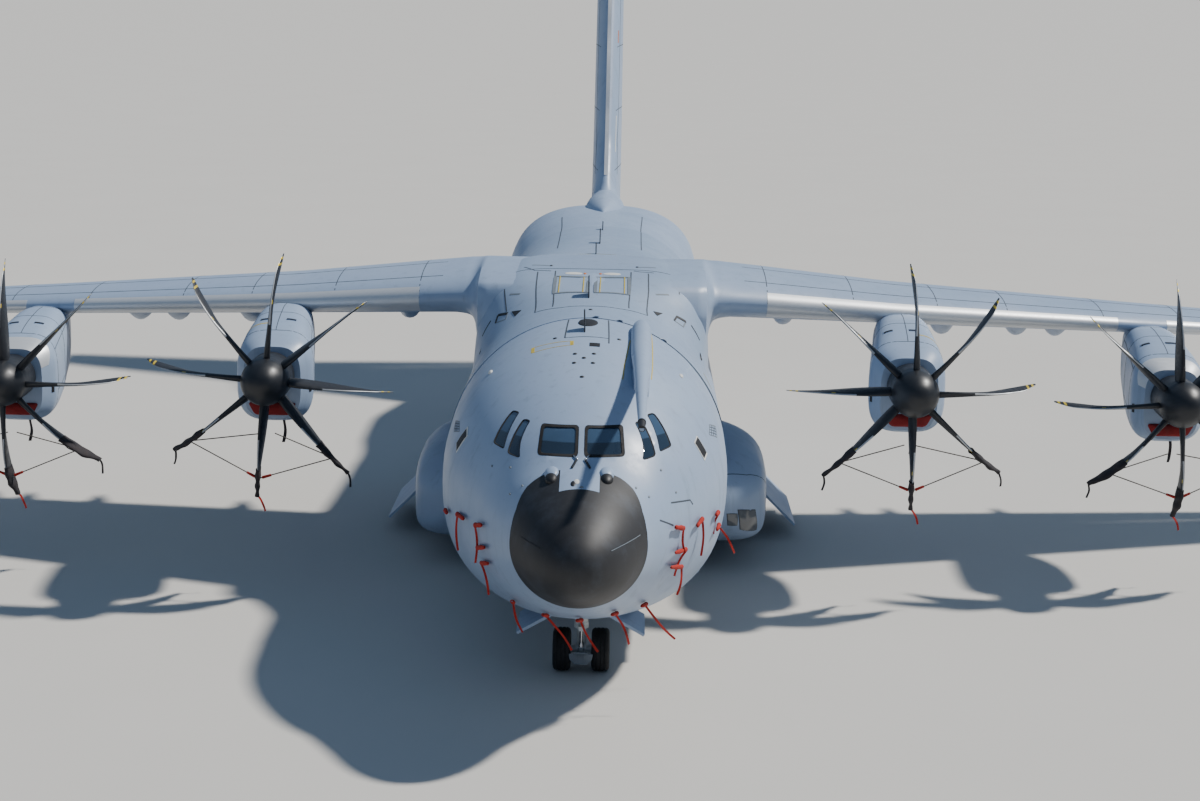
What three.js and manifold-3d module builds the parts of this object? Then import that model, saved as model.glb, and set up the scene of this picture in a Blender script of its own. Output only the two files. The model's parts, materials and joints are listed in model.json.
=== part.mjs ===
// Four-propeller military transport plane, a 1:2 scale model.
// All sizes below are in metres of the full-size plane: x to its port side, s aft from the nose tip,
// z up from the ground. The function at() turns them into model millimetres.
import * as THREE from "three";
import { mergeVertices } from "three/addons/utils/BufferGeometryUtils.js";
import Module from "manifold-3d";

const wasm = await Module();
wasm.setup();

const metre = 500;
const halfLength = 22.55;
const seat = 0.0008;
const swing = 0.012;

const skin = 0.14;
const bodyPoints = 30;
const radomeEnd = 2.3;
const noseEnd = 8.2;
const centreEnd = 26.6;
const bodyEnd = 41.4;
const floorTop = 1.62;

const engineX = [6.88, 12.98];
const hubZ = [4.73, 4.27];
const propellerS = [10.7, 12.5];
const propellerRadius = 2.665;

const noseWheelS = 5.45;
const noseWheelRadius = 0.42;
const mainWheelS = [17.4, 19.0, 20.6];
const mainWheelX = 3.1;
const mainWheelRadius = 0.545;

const colours = {
  paint: [0x93a1b5, 0.5, 0.1],
  fairing: [0x8c9bb0, 0.5, 0.1],
  radome: [0x3d3f42, 0.55, 0.0],
  blade: [0x1d2026, 0.45, 0.0],
  glass: [0x24384a, 0.1, 0.0],
  metal: [0xb9bec4, 0.35, 0.9],
  gear: [0xd0d4d6, 0.45, 0.2],
  rubber: [0x191a1c, 0.9, 0.0],
  floor: [0x6d7478, 0.7, 0.2],
};

const plane = new THREE.Group();
plane.name = "transport_plane";

function at(x, s, z) {
  return new THREE.Vector3(x * metre, (s - halfLength) * metre, z * metre);
}

function signedVolume(points, faces) {
  const cross = new THREE.Vector3();
  let sum = 0;
  for (const [a, b, c] of faces) {
    cross.crossVectors(points[b], points[c]);
    sum += points[a].dot(cross);
  }
  return sum;
}

function closedSolid(points, faces) {
  const outward = signedVolume(points, faces) > 0;
  const vertProperties = new Float32Array(points.flatMap((p) => [p.x, p.y, p.z]));
  const ordered = outward ? faces : faces.map(([a, b, c]) => [a, c, b]);
  const triVerts = new Uint32Array(ordered.flat());
  return new wasm.Manifold(new wasm.Mesh({ numProp: 3, vertProperties, triVerts }));
}

function loft(rings) {
  const count = rings[0].length;
  const points = rings.flat();
  const faces = [];
  for (let r = 0; r + 1 < rings.length; r += 1) {
    for (let i = 0; i < count; i += 1) {
      const a = r * count + i;
      const b = r * count + ((i + 1) % count);
      faces.push([a, b, a + count]);
      faces.push([b, b + count, a + count]);
    }
  }
  const last = (rings.length - 1) * count;
  for (let i = 1; i + 1 < count; i += 1) {
    faces.push([0, i + 1, i]);
    faces.push([last, last + i, last + i + 1]);
  }
  return closedSolid(points, faces);
}

function fromGeometry(geometry) {
  const bare = geometry.clone();
  bare.deleteAttribute("normal");
  bare.deleteAttribute("uv");
  const merged = mergeVertices(bare, 1e-3);
  const vertProperties = new Float32Array(merged.attributes.position.array);
  const triVerts = new Uint32Array(merged.index.array);
  return new wasm.Manifold(new wasm.Mesh({ numProp: 3, vertProperties, triVerts }));
}

function box(x0, x1, s0, s1, z0, z1) {
  const geometry = new THREE.BoxGeometry((x1 - x0) * metre, (s1 - s0) * metre, (z1 - z0) * metre);
  const middle = at((x0 + x1) / 2, (s0 + s1) / 2, (z0 + z1) / 2);
  geometry.translate(middle.x, middle.y, middle.z);
  return fromGeometry(geometry);
}

function sidePrism(outline, x0, x1) {
  return loft([x0, x1].map((x) => outline.map(([s, z]) => at(x, s, z))));
}

function planPrism(outline, z0, z1) {
  return loft([z0, z1].map((z) => outline.map(([x, s]) => at(x, s, z))));
}

function frontPrism(outline, s0, s1) {
  return loft([s0, s1].map((s) => outline.map(([x, z]) => at(x, s, z))));
}

function rod(from, to, radius, sides = 12, endRadius = radius) {
  const start = at(...from);
  const end = at(...to);
  const along = end.clone().sub(start);
  const geometry = new THREE.CylinderGeometry(
    endRadius * metre, radius * metre, along.length(), sides);
  const turn = new THREE.Quaternion();
  turn.setFromUnitVectors(new THREE.Vector3(0, 1, 0), along.clone().normalize());
  geometry.applyQuaternion(turn);
  const middle = start.add(end).multiplyScalar(0.5);
  geometry.translate(middle.x, middle.y, middle.z);
  return fromGeometry(geometry);
}

function joined(solids) {
  return solids.reduce((sum, solid) => sum.add(solid));
}

function largest(solid) {
  const pieces = solid.decompose();
  return pieces.reduce((best, piece) => (piece.volume() > best.volume() ? piece : best));
}

function mirrored(solid) {
  return solid.mirror([1, 0, 0]);
}

function addPart(name, solid, finish) {
  const { vertProperties, triVerts } = largest(solid).getMesh();
  const geometry = new THREE.BufferGeometry();
  geometry.setAttribute("position", new THREE.Float32BufferAttribute(vertProperties, 3));
  geometry.setIndex(Array.from(triVerts));
  geometry.computeVertexNormals();
  const [color, roughness, metalness] = colours[finish];
  const mesh = new THREE.Mesh(
    geometry, new THREE.MeshStandardMaterial({ color, roughness, metalness }));
  mesh.name = name;
  plane.add(mesh);
}

function addPair(name, solid, finish) {
  addPart(`${name}_port`, solid, finish);
  addPart(`${name}_starboard`, mirrored(solid), finish);
}

// Fuselage sections: station, crown, keel, half width, height of the widest line, and how square
// the keel and the crown are.
const bodyRows = [
  [0.00, 3.46, 3.34, 0.06, 3.40, 2.0, 2.0],
  [0.20, 3.85, 2.97, 0.45, 3.41, 2.0, 2.0],
  [0.80, 4.25, 2.62, 0.88, 3.43, 2.0, 2.0],
  [1.75, 4.62, 2.28, 1.25, 3.48, 2.0, 2.0],
  [2.45, 4.84, 1.96, 1.60, 3.50, 2.05, 2.0],
  [3.15, 5.34, 1.70, 1.92, 3.52, 2.1, 2.0],
  [4.00, 5.72, 1.45, 2.28, 3.52, 2.2, 2.0],
  [5.00, 6.04, 1.22, 2.58, 3.54, 2.3, 2.0],
  [6.00, 6.28, 1.05, 2.75, 3.58, 2.4, 2.0],
  [7.00, 6.42, 0.95, 2.81, 3.62, 2.5, 2.0],
  [8.40, 6.50, 0.88, 2.82, 3.66, 2.6, 2.0],
  [26.6, 6.50, 0.88, 2.82, 3.66, 2.6, 2.3],
  [29.0, 6.52, 1.25, 2.88, 3.85, 2.5, 2.6],
  [31.5, 6.50, 2.05, 2.82, 4.25, 2.4, 2.6],
  [34.0, 6.26, 2.95, 2.38, 4.65, 2.3, 2.4],
  [36.5, 6.03, 3.80, 1.80, 4.98, 2.2, 2.2],
  [39.0, 5.80, 4.52, 1.10, 5.20, 2.1, 2.1],
  [41.4, 5.55, 4.98, 0.40, 5.28, 2.0, 2.0],
];

function bodyRow(s) {
  const next = Math.max(1, bodyRows.findIndex((row) => row[0] >= s));
  const [from, to] = [bodyRows[next - 1], bodyRows[next]];
  const share = (s - from[0]) / (to[0] - from[0]);
  return from.map((value, i) => value + (to[i] - value) * share);
}

function bodyRing(s, grow) {
  const [, crown, keel, halfWidth, middle, keelPower, crownPower] = bodyRow(s);
  const ring = [];
  for (let i = 0; i < bodyPoints; i += 1) {
    const angle = (2 * Math.PI * i) / bodyPoints;
    const [sine, cosine] = [Math.sin(angle), Math.cos(angle)];
    const power = 2 / (cosine < -1e-9 ? keelPower : crownPower);
    const height = (cosine < 0 ? middle - keel : crown - middle) + grow;
    const x = (halfWidth + grow) * Math.sign(sine) * Math.abs(sine) ** power;
    const z = middle + height * Math.sign(cosine) * Math.abs(cosine) ** power;
    ring.push(at(x, s, z));
  }
  return ring;
}

function bodyLoft(start, end, grow) {
  const stations = bodyRows.map((row) => row[0]).filter((s) => s > start && s < end);
  return loft([start, ...stations, end].map((s) => bodyRing(s, grow)));
}

// Space ahead of the radome's joint, which leans aft near the crown and has a notch there.
function radomeSpace(aft) {
  const side = [
    [-1, 0], [1.66, 0], [1.66, 3.6], [1.70, 3.8], [1.80, 4.05], [1.95, 4.25], [2.06, 4.4],
    [2.14, 4.58], [2.14, 8], [-1, 8],
  ];
  const notch = box(-0.35 + aft, 0.35 - aft, 1.45 + aft, 3, 4.15, 9);
  return sidePrism(side.map(([s, z]) => [s + (s > 0 ? aft : 0), z]), -2, 2).subtract(notch);
}

const bodyClear = bodyLoft(0.2, bodyEnd, seat);
const holdSpace = bodyLoft(1.7, bodyEnd - 1.2, -skin).subtract(radomeSpace(skin));
const holdFit = bodyLoft(radomeEnd + seat, bodyEnd - 1.2 - seat, -skin - seat);

// Wing sections: distance out, leading edge station and height, chord, thickness, root flare.
const wingRows = [
  [0.0, 11.80, 6.38, 7.74, 0.95, 0],
  [2.1, 12.48, 6.26, 7.24, 1.10, 0],
  [2.3, 12.55, 6.25, 7.19, 1.12, 1],
  [2.50, 12.61, 6.24, 7.15, 1.13, 0.96],
  [2.56, 12.63, 6.23, 7.14, 1.14, 0.64],
  [2.62, 12.65, 6.23, 7.12, 1.14, 0.36],
  [2.72, 12.68, 6.22, 7.10, 1.15, 0.15],
  [2.88, 12.73, 6.21, 7.06, 1.16, 0.05],
  [3.1, 12.80, 6.19, 7.00, 1.15, 0],
  [6.9, 14.04, 5.85, 6.09, 0.88, 0],
  [13.0, 16.03, 5.37, 4.65, 0.64, 0],
  [20.5, 18.46, 4.82, 2.88, 0.34, 0],
  [21.2, 18.95, 4.77, 2.20, 0.20, 0],
];
const rootFlare = { forward: 0.9, drop: 0.8, rise: 0.12 };

// Wing profile: share of the chord, upper and lower share of the thickness.
const profile = [
  [0.00, 0.00], [0.02, 0.20], [0.08, 0.38], [0.20, 0.53], [0.38, 0.60], [0.58, 0.50],
  [0.80, 0.26], [1.00, 0.02], [1.00, -0.02], [0.80, -0.16], [0.58, -0.32], [0.38, -0.40],
  [0.20, -0.38], [0.08, -0.28], [0.02, -0.15],
];

function wingRing([x, edgeS, edgeZ, chord, thickness, flare], grow) {
  return profile.map(([share, lift]) => {
    const front = flare * (1 - share);
    const s = edgeS + share * chord + (share - 0.4) * 2 * grow - front ** 2 * rootFlare.forward;
    const z = edgeZ - 0.035 * share * chord + lift * thickness + Math.sign(lift) * grow;
    if (lift > 0) {
      return at(x, s, z + front * rootFlare.rise);
    }
    return at(x, s, z - front * rootFlare.drop * (share > 0 ? 1 : 0.35));
  });
}

function wingLoft(rows, grow, ringOf = wingRing) {
  return loft(rows.map((row) => ringOf(row, grow)));
}

function wingRow(rows, x) {
  const next = Math.max(1, rows.findIndex((row) => row[0] >= x));
  const [from, to] = [rows[next - 1], rows[next]];
  const share = (x - from[0]) / (to[0] - from[0]);
  return from.map((value, i) => value + (to[i] - value) * share);
}

// Flap track fairings: distance out, radius, drop below the wing.
const trackRows = [
  [4.6, 0.28, 0.50],
  [8.6, 0.26, 0.46],
  [10.5, 0.24, 0.38],
  [11.5, 0.22, 0.36],
  [14.2, 0.20, 0.32],
];

function trackFairing([x, radius, drop]) {
  const [, edgeS, edgeZ, chord] = wingRow(wingRows, x);
  const middle = edgeZ - 0.02 * chord - 0.12;
  const rings = [[0.42, 0.15, 0.0], [0.56, 0.8, 0.5], [0.75, 1, 1], [0.95, 0.8, 0.9], [1.12, 0.12, 0.55]];
  return loft(rings.map(([share, size, down]) => {
    const ring = [];
    for (let i = 0; i < 10; i += 1) {
      const angle = (2 * Math.PI * i) / 10;
      const z = middle - drop * down + radius * size * Math.cos(angle) * 1.3;
      ring.push(at(x + radius * size * Math.sin(angle), edgeS + share * chord, z));
    }
    return ring;
  }));
}

// A control surface turns on the line between two points of a plan. The plan's coordinates are
// span and station. Its ends are square to that line, so that they slide past the fixed ends.
function surfacePlan(from, to, back, ahead, inset) {
  const length = Math.hypot(to[0] - from[0], to[1] - from[1]);
  const along = [(to[0] - from[0]) / length, (to[1] - from[1]) / length];
  const aft = [-along[1], along[0]];
  const corner = (point, share, depth) => [
    point[0] + along[0] * share + aft[0] * depth,
    point[1] + along[1] * share + aft[1] * depth,
  ];
  return [
    corner(from, inset, -ahead), corner(to, -inset, -ahead),
    corner(to, -inset, back), corner(from, inset, back),
  ];
}

function between(from, to, distance) {
  const length = Math.hypot(...from.map((value, i) => to[i] - value));
  return from.map((value, i) => value + ((to[i] - value) * distance) / length);
}

function hingeTube(from, to, radius, endRadius) {
  return rod(between(from, to, swing), between(to, from, swing), radius, 12, endRadius);
}

function pivots(from, to, radius) {
  return [
    rod(between(from, to, -0.08), between(from, to, swing - seat), radius, 10),
    rod(between(to, from, -0.08), between(to, from, swing - seat), radius, 10),
  ];
}

const aileron = { inner: 15.9, outer: 20.3, share: 0.75 };
const rootCut = box(-5, seat / 2, 0, 30, 0, 12);

function wingHinge(x, share) {
  const [, edgeS, edgeZ, chord, thickness] = wingRow(wingRows, x);
  return [x, edgeS + share * chord, edgeZ - 0.035 * share * chord + 0.06 * thickness];
}

const aileronHinge = [wingHinge(aileron.inner, aileron.share), wingHinge(aileron.outer, aileron.share)];
const aileronPlan = (back, ahead, inset) => planPrism(
  surfacePlan(...aileronHinge.map(([x, s]) => [x, s]), back, ahead, inset), 3, 8);
const plainWing = wingLoft(wingRows, 0);
const wingClearHalf = wingLoft(wingRows, seat);
const wingClear = wingClearHalf.add(mirrored(wingClearHalf));
const aileronBay = aileronPlan(2.5, 0.1, 0);
const padRow = wingRow(wingRows, 17.2);
const wingPad = box(17.05, 17.35, padRow[1] + 0.7, padRow[1] + 1.5, padRow[2] - 0.28, padRow[2]);
const wing = joined([plainWing, ...trackRows.map(trackFairing), wingPad]);
addPair("wing", joined([
  wing.subtract(aileronBay).subtract(rootCut),
  ...pivots(...aileronHinge, 0.025),
]), "paint");
addPair("aileron", plainWing
  .intersect(aileronPlan(2.5, 0, swing * 1.4))
  .add(hingeTube(...aileronHinge, 0.075, 0.05)), "paint");

// Nose skin with its window openings, the crew door and the nose gear bay.
const frontPane = [[0.05, 4.86], [0.79, 4.84], [0.74, 5.30], [0.05, 5.32]];
const sidePanes = [
  [[2.81, 4.75], [3.09, 4.78], [3.66, 5.31], [3.52, 5.31]],
  [[3.24, 4.82], [3.64, 4.85], [4.11, 5.38], [3.92, 5.38]],
];

function shrunk(outline, gap) {
  const middle = outline.reduce((sum, p) => [sum[0] + p[0] / 4, sum[1] + p[1] / 4], [0, 0]);
  return outline.map(([a, b]) => {
    const length = Math.hypot(a - middle[0], b - middle[1]);
    return [a - ((a - middle[0]) * gap * 1.6) / length, b - ((b - middle[1]) * gap * 1.6) / length];
  });
}

const door = { s0: 6.45, s1: 7.35, z0: 1.68, z1: 3.62, sill: 0.04, hingeX: 2.245, hingeZ: 1.765 };
const noseBay = { halfWidth: 0.52, s0: 4.35, s1: 6.35 };
const noseOuter = bodyLoft(1.3, noseEnd, 0).subtract(radomeSpace(seat));
const noseSkin = noseOuter.subtract(holdSpace);
const doorHole = box(1.6, 3.2, door.s0, door.s1, door.z0, door.z1);
const bayHole = box(-noseBay.halfWidth, noseBay.halfWidth, noseBay.s0, noseBay.s1, 0, 2.2);
const paneCuts = [
  frontPrism(frontPane, 2.0, 4.2),
  ...sidePanes.map((outline) => sidePrism(outline, 0.84, 2.2)),
];
const paneFills = [
  frontPrism(shrunk(frontPane, seat), 2.0, 4.2),
  ...sidePanes.map((outline) => sidePrism(shrunk(outline, seat), 0.84 + seat, 2.2)),
];
const paneSkin = noseOuter.subtract(bodyLoft(radomeEnd, noseEnd - 0.2, -0.06));
const doorAxis = [[door.hingeX, door.s0, door.hingeZ], [door.hingeX, door.s1, door.hingeZ]];
const cuts = joined(paneCuts);
addPart("radome", bodyLoft(0, radomeEnd, 0).intersect(radomeSpace(0)), "radome");
addPart("nose_fuselage", noseSkin
  .subtract(cuts)
  .subtract(mirrored(cuts))
  .subtract(doorHole)
  .subtract(bayHole)
  .add(joined(pivots(...doorAxis, 0.045))), "paint");
addPair("windscreen", paneSkin.intersect(paneFills[0]), "glass");
addPair("side_window_front", paneSkin.intersect(paneFills[1]), "glass");
addPair("side_window_rear", paneSkin.intersect(paneFills[2]), "glass");
addPart("crew_door", noseSkin.intersect(
  box(1.6, 3.2, door.s0 + swing, door.s1 - swing, door.z0 + door.sill, door.z1 - swing))
  .add(hingeTube(...doorAxis, 0.045, 0.045)), "paint");

// Centre and rear skins. The wing passes through the crown of the centre one.
const centreOuter = bodyLoft(noseEnd + seat, centreEnd, 0);
addPart("centre_fuselage", centreOuter.subtract(holdSpace).subtract(wingClear), "paint");

// Half widths of the tail opening at its stations. The ramp and the door above it meet on a
// slanted face, so that each can swing with the other shut.
const openingWidths = [[27.4, 1.9], [33.0, 1.56], [37.3, 1.1]];
const slant = 0.6;
const rampHinge = { s: 27.47, z: 1.08, lugX: 0.9 };
const doorHinge = { s: 37.15, z: 4.85, lugX: 1.0 };

function openingPlan(rows, inset) {
  const port = rows.map(([s, halfWidth]) => [halfWidth - inset, s]);
  const starboard = rows.map(([s, halfWidth]) => [inset - halfWidth, s]).reverse();
  return planPrism([...port, ...starboard], 0, 5.35);
}

function slantAt(z) {
  return 33.0 - slant * (z - 1.7);
}

function hingeLug(x, reach, inset) {
  return box(x - 0.04 - inset, x + 0.04 + inset, 27.2, rampHinge.s + reach,
    rampHinge.z - 0.05 - inset, rampHinge.z + 0.05 + inset * 1.5);
}

const rearOuter = bodyLoft(centreEnd + seat, bodyEnd, 0);
const rearSkin = rearOuter.subtract(holdSpace);
const rampSides = [-rampHinge.lugX, rampHinge.lugX];
const rampLugs = rampSides.map((x) => hingeLug(x, 0.04, 0)
  .add(rod([x - 0.1 + seat, rampHinge.s, rampHinge.z], [x + 0.1 - seat, rampHinge.s, rampHinge.z],
    0.022, 12)));
const doorPins = [-1, 1].map((side) => rod(
  [side * (doorHinge.lugX + 0.04 + seat), doorHinge.s, doorHinge.z],
  [side * 1.46, doorHinge.s, doorHinge.z], 0.04, 12));
addPart("rear_fuselage", joined([
  rearSkin.subtract(openingPlan(openingWidths, 0)),
  ...rampLugs,
  ...doorPins,
]).subtract(bodyLoft(centreEnd - 1, centreEnd + seat, 1)), "paint");

const rampProfile = [
  [27.44, 0.5], [27.44, floorTop], [slantAt(2.90), 2.90], [slantAt(0.5), 0.5],
];
addPart("cargo_ramp", rearOuter
  .intersect(openingPlan([[27.4, 1.87], [34.5, 1.455]], swing))
  .intersect(sidePrism(rampProfile, -2.5, 2.5))
  .subtract(joined(rampSides.map((x) => hingeLug(x, 0.1, 0.06)))), "paint");

const tailDoorProfile = [
  [slantAt(0.5) + swing, 0.5], [slantAt(5.4) + swing, 5.4],
  [37.3 - swing * 2, 5.4], [37.3 - swing * 2, 0.5],
];
addPart("tail_door", joined([
  rearSkin
    .intersect(openingPlan([[30, 1.74], [33.0, 1.56], [37.3, 1.1]], swing))
    .intersect(sidePrism(tailDoorProfile, -2.5, 2.5)),
  ...[-1, 1].map((side) => sidePrism(
    [[36.8, 4.2], [37.05, 4.95], [37.25, 4.95], [37.25, 4.28]],
    side * (doorHinge.lugX - 0.04), side * (doorHinge.lugX + 0.04))),
]).intersect(rearOuter), "paint");

// The floor is deep, down to the keel, between the nose gear's bay and the wheels.
addPart("cargo_floor", holdFit.intersect(joined([
  box(-2.4, 2.4, noseBay.s0 - 0.2, 27.4, floorTop - 0.12, floorTop),
  box(-2.6, 2.6, noseBay.s1 + 0.2, 15.5, 0.5, floorTop - 0.06),
])), "floor");
addPart("cockpit_deck", holdFit.intersect(joined([
  box(-2.6, 2.6, 2.2, 5.4, 3.45, 3.55),
  box(-2.7, 2.7, 5.3, 5.4, floorTop + seat, 6.4),
])), "floor");

// Wing to body fairing: station, crown, half width, squareness.
const fairingRows = [
  [8.22, 6.51, 2.84, 2.0],
  [10.3, 6.64, 2.79, 2.05],
  [12.0, 6.86, 2.70, 2.5],
  [13.3, 7.01, 2.64, 2.9],
  [14.3, 7.02, 2.62, 3.1],
  [16.0, 6.86, 2.62, 3.1],
  [18.0, 6.64, 2.66, 2.9],
  [20.5, 6.56, 2.74, 2.6],
  [23.0, 6.53, 2.80, 2.4],
  [25.6, 6.51, 2.83, 2.3],
];
const fairingSolid = loft(fairingRows.map(([s, crown, halfWidth, squareness]) => {
  const ring = [];
  for (let i = -8; i <= 8; i += 1) {
    const angle = (Math.PI * i) / 16;
    const [sine, cosine] = [Math.sin(angle), Math.cos(angle)];
    const x = halfWidth * Math.sign(sine) * Math.abs(sine) ** (2 / squareness);
    ring.push(at(x, s, 3.66 + (crown - 3.66) * Math.max(cosine, 0) ** (2 / squareness)));
  }
  return ring;
})).intersect(box(-4, 4, 8, 26, 4.3, 8));

addPart("wing_fairing", fairingSolid
  .subtract(bodyClear)
  .subtract(wingClear), "fairing");

// Nacelle sections: distance aft of the propeller, top, bottom and half width about the shaft.
const nacelleRows = [
  [0.36, 0.60, -0.98, 0.62],
  [0.80, 0.78, -1.10, 0.83],
  [1.40, 0.94, -1.13, 0.78],
  [2.20, 1.05, -1.06, 0.66],
  [3.30, 1.12, -0.66, 0.48],
  [4.20, 1.08, -0.08, 0.33],
  [5.00, 0.98, 0.36, 0.19],
  [5.70, 0.86, 0.60, 0.10],
];

function nacelleRing(row, x, s, z, grow) {
  const [aft, top, bottom, halfWidth] = row;
  const middle = (top + bottom) / 2;
  const ring = [];
  for (let i = 0; i < 16; i += 1) {
    const angle = (2 * Math.PI * i) / 16;
    const [sine, cosine] = [Math.sin(angle), Math.cos(angle)];
    const power = 2 / 2.6;
    const dx = (halfWidth + grow) * Math.sign(sine) * Math.abs(sine) ** power;
    const height = (top - bottom) / 2 + grow;
    const dz = middle + height * Math.sign(cosine) * Math.abs(cosine) ** power;
    ring.push(at(x + dx, s + aft, z + dz));
  }
  return ring;
}

function nacelleInside(x, s, z, grow) {
  return loft(nacelleRows.slice(1, 5).map((row) => nacelleRing(row, x, s, z, grow)));
}

function nacelle(x, s, z) {
  const outer = loft(nacelleRows.map((row) => nacelleRing(row, x, s, z, 0)));
  const inner = nacelleInside(x, s, z, -0.07);
  const mouth = frontPrism([
    [x - 0.42, z - 0.66], [x - 0.30, z - 0.88], [x + 0.30, z - 0.88], [x + 0.42, z - 0.66],
  ], s + 0.2, s + 0.9);
  const shaftHole = rod([x, s + 0.2, z], [x, s + 0.9, z], 0.24, 14);
  const jetHole = rod([x, s + 3.2, z - 0.2], [x, s + 6.5, z - 0.2], 0.2, 12);
  return outer.subtract(joined([inner, mouth, shaftHole, jetHole])).subtract(wingClear);
}

function engine(x, s, z) {
  return joined([
    rod([x, s + 0.9, z], [x, s + 1.3, z], 0.3, 12, 0.42),
    rod([x, s + 1.29, z], [x, s + 2.3, z], 0.42, 12),
    rod([x, s + 2.29, z], [x, s + 3.2, z - 0.1], 0.42, 12, 0.28),
    rod([x, s + 3.1, z - 0.2], [x, s + 4.0, z - 0.2], 0.16, 12),
    nacelleInside(x, s, z, -0.07 - seat).intersect(box(-15, 15, s + 1.7, s + 1.85, 0, 9)),
  ]);
}

// Blade sections: distance from the shaft, chord, thickness, turn out of the feathered plane, sweep.
const bladeRows = [
  [0.30, 0.26, 0.14, -14, -0.46],
  [0.80, 0.38, 0.09, -10, -0.50],
  [1.50, 0.46, 0.055, -2, -0.46],
  [2.30, 0.34, 0.030, 7, -0.18],
  [propellerRadius, 0.08, 0.015, 11, 0.14],
];
const bladeProfile = [
  [-0.5, 0.0], [-0.1, 0.5], [0.5, 0.06], [0.5, -0.06], [-0.1, -0.5],
];
const spinnerProfile = [
  [0.00, -1.24], [0.18, -1.20], [0.34, -1.07], [0.46, -0.86], [0.51, -0.62], [0.51, -0.20],
  [0.50, 0.30], [0.15, 0.30], [0.15, 0.8992], [0.00, 0.8992],
];

function propeller(x, s, z, phase, hand) {
  const points = spinnerProfile.map(([r, aft]) => new THREE.Vector2(r * metre, aft * metre));
  const turned = new THREE.LatheGeometry(points, 20);
  const hub = at(x, s, z);
  turned.translate(hub.x, hub.y, hub.z);
  const solids = [fromGeometry(turned)];
  for (let k = 0; k < 8; k += 1) {
    const around = THREE.MathUtils.degToRad(phase + 45 * k);
    solids.push(loft(bladeRows.map(([r, chord, thickness, turn, sweep]) => {
      const pitch = THREE.MathUtils.degToRad(turn * hand);
      return bladeProfile.map(([alongChord, across]) => {
        const aft = alongChord * chord * Math.cos(pitch) - across * thickness * Math.sin(pitch);
        const side = alongChord * chord * Math.sin(pitch) + across * thickness * Math.cos(pitch)
          + sweep * hand * 0.1;
        return at(
          x + r * Math.sin(around) + side * Math.cos(around),
          s + 0.02 + aft + sweep,
          z + r * Math.cos(around) - side * Math.sin(around));
      });
    })));
  }
  return joined(solids);
}

// Propellers: side, engine number, blade phase clockwise from the front, handedness.
const engineTable = [
  { name: "outer_port", side: 1, pair: 1, phase: -2.9, hand: 1 },
  { name: "inner_port", side: 1, pair: 0, phase: -2.2, hand: -1 },
  { name: "inner_starboard", side: -1, pair: 0, phase: 6.4, hand: 1 },
  { name: "outer_starboard", side: -1, pair: 1, phase: -1.0, hand: -1 },
];
for (const { name, side, pair, phase, hand } of engineTable) {
  const place = [side * engineX[pair], propellerS[pair], hubZ[pair]];
  addPart(`nacelle_${name}`, nacelle(...place), "paint");
  addPart(`engine_${name}`, engine(...place), "metal");
  addPart(`propeller_${name}`, propeller(...place, phase, hand), "blade");
}

// Sponson sections: station, bottom, top, outer edge.
const sponsonRows = [
  [12.5, 1.35, 2.00, 2.85],
  [12.9, 0.86, 2.38, 3.62],
  [13.5, 0.61, 2.66, 4.00],
  [14.6, 0.57, 2.97, 4.09],
  [16.0, 0.57, 3.02, 4.11],
  [18.0, 0.57, 2.66, 4.11],
  [21.2, 0.60, 1.92, 3.97],
  [24.5, 0.75, 1.62, 3.25],
  [26.2, 1.10, 1.60, 2.75],
  [27.3, 1.35, 1.55, 2.40],
];
const sponsonLoft = (grow) => loft(sponsonRows.map(([s, bottom, top, edge]) => {
  const ring = [];
  const [middle, height, reach] = [(top + bottom) / 2, (top - bottom) / 2 + grow, edge - 1.6 + grow];
  for (let i = 0; i < 16; i += 1) {
    const angle = (2 * Math.PI * i) / 16;
    const [sine, cosine] = [Math.sin(angle), Math.cos(angle)];
    const power = 2 / (cosine > 0 ? 2.4 : 6.0);
    const x = 1.6 + reach * Math.sign(sine) * Math.abs(sine) ** power;
    ring.push(at(x, s, middle + height * Math.sign(cosine) * Math.abs(cosine) ** power));
  }
  return ring;
}));
const sponsonSolid = sponsonLoft(0);
const gearBay = { x0: 2.45, x1: 3.75, s0: 16.6, s1: 21.4, top: 1.45 };
const bayBox = box(gearBay.x0, gearBay.x1, gearBay.s0, gearBay.s1, 0, gearBay.top);
const sponson = sponsonSolid.subtract(bodyClear).subtract(bayBox).subtract(box(-5, 1.2, 10, 30, 0, 5));
addPair("sponson", sponson, "paint");

const axleRadius = 0.078;
const axleBore = (axleRadius + seat) / Math.cos(Math.PI / 20);

// Gear legs with an eye round each axle, hanging from a beam under the bay roof.
function mainLegs() {
  const beamZ = gearBay.top - seat;
  const solids = [
    box(mainWheelX - 0.09, mainWheelX + 0.09, mainWheelS[0] - 0.5, mainWheelS[2] + 0.5,
      beamZ - 0.14, beamZ),
  ];
  for (const s of mainWheelS) {
    solids.push(rod([mainWheelX, s - 0.32, beamZ - 0.1], [mainWheelX, s, mainWheelRadius], 0.075, 8));
    solids.push(rod([mainWheelX, s + 0.35, beamZ - 0.1], [mainWheelX, s, mainWheelRadius], 0.055, 8));
    solids.push(rod([mainWheelX - 0.1, s, mainWheelRadius], [mainWheelX + 0.1, s, mainWheelRadius],
      0.15, 12));
  }
  const bores = mainWheelS.map((s) => rod(
    [mainWheelX - 0.3, s, mainWheelRadius], [mainWheelX + 0.3, s, mainWheelRadius], axleBore, 20));
  return joined(solids).subtract(joined(bores));
}
addPair("main_gear_legs", mainLegs(), "gear");

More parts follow.
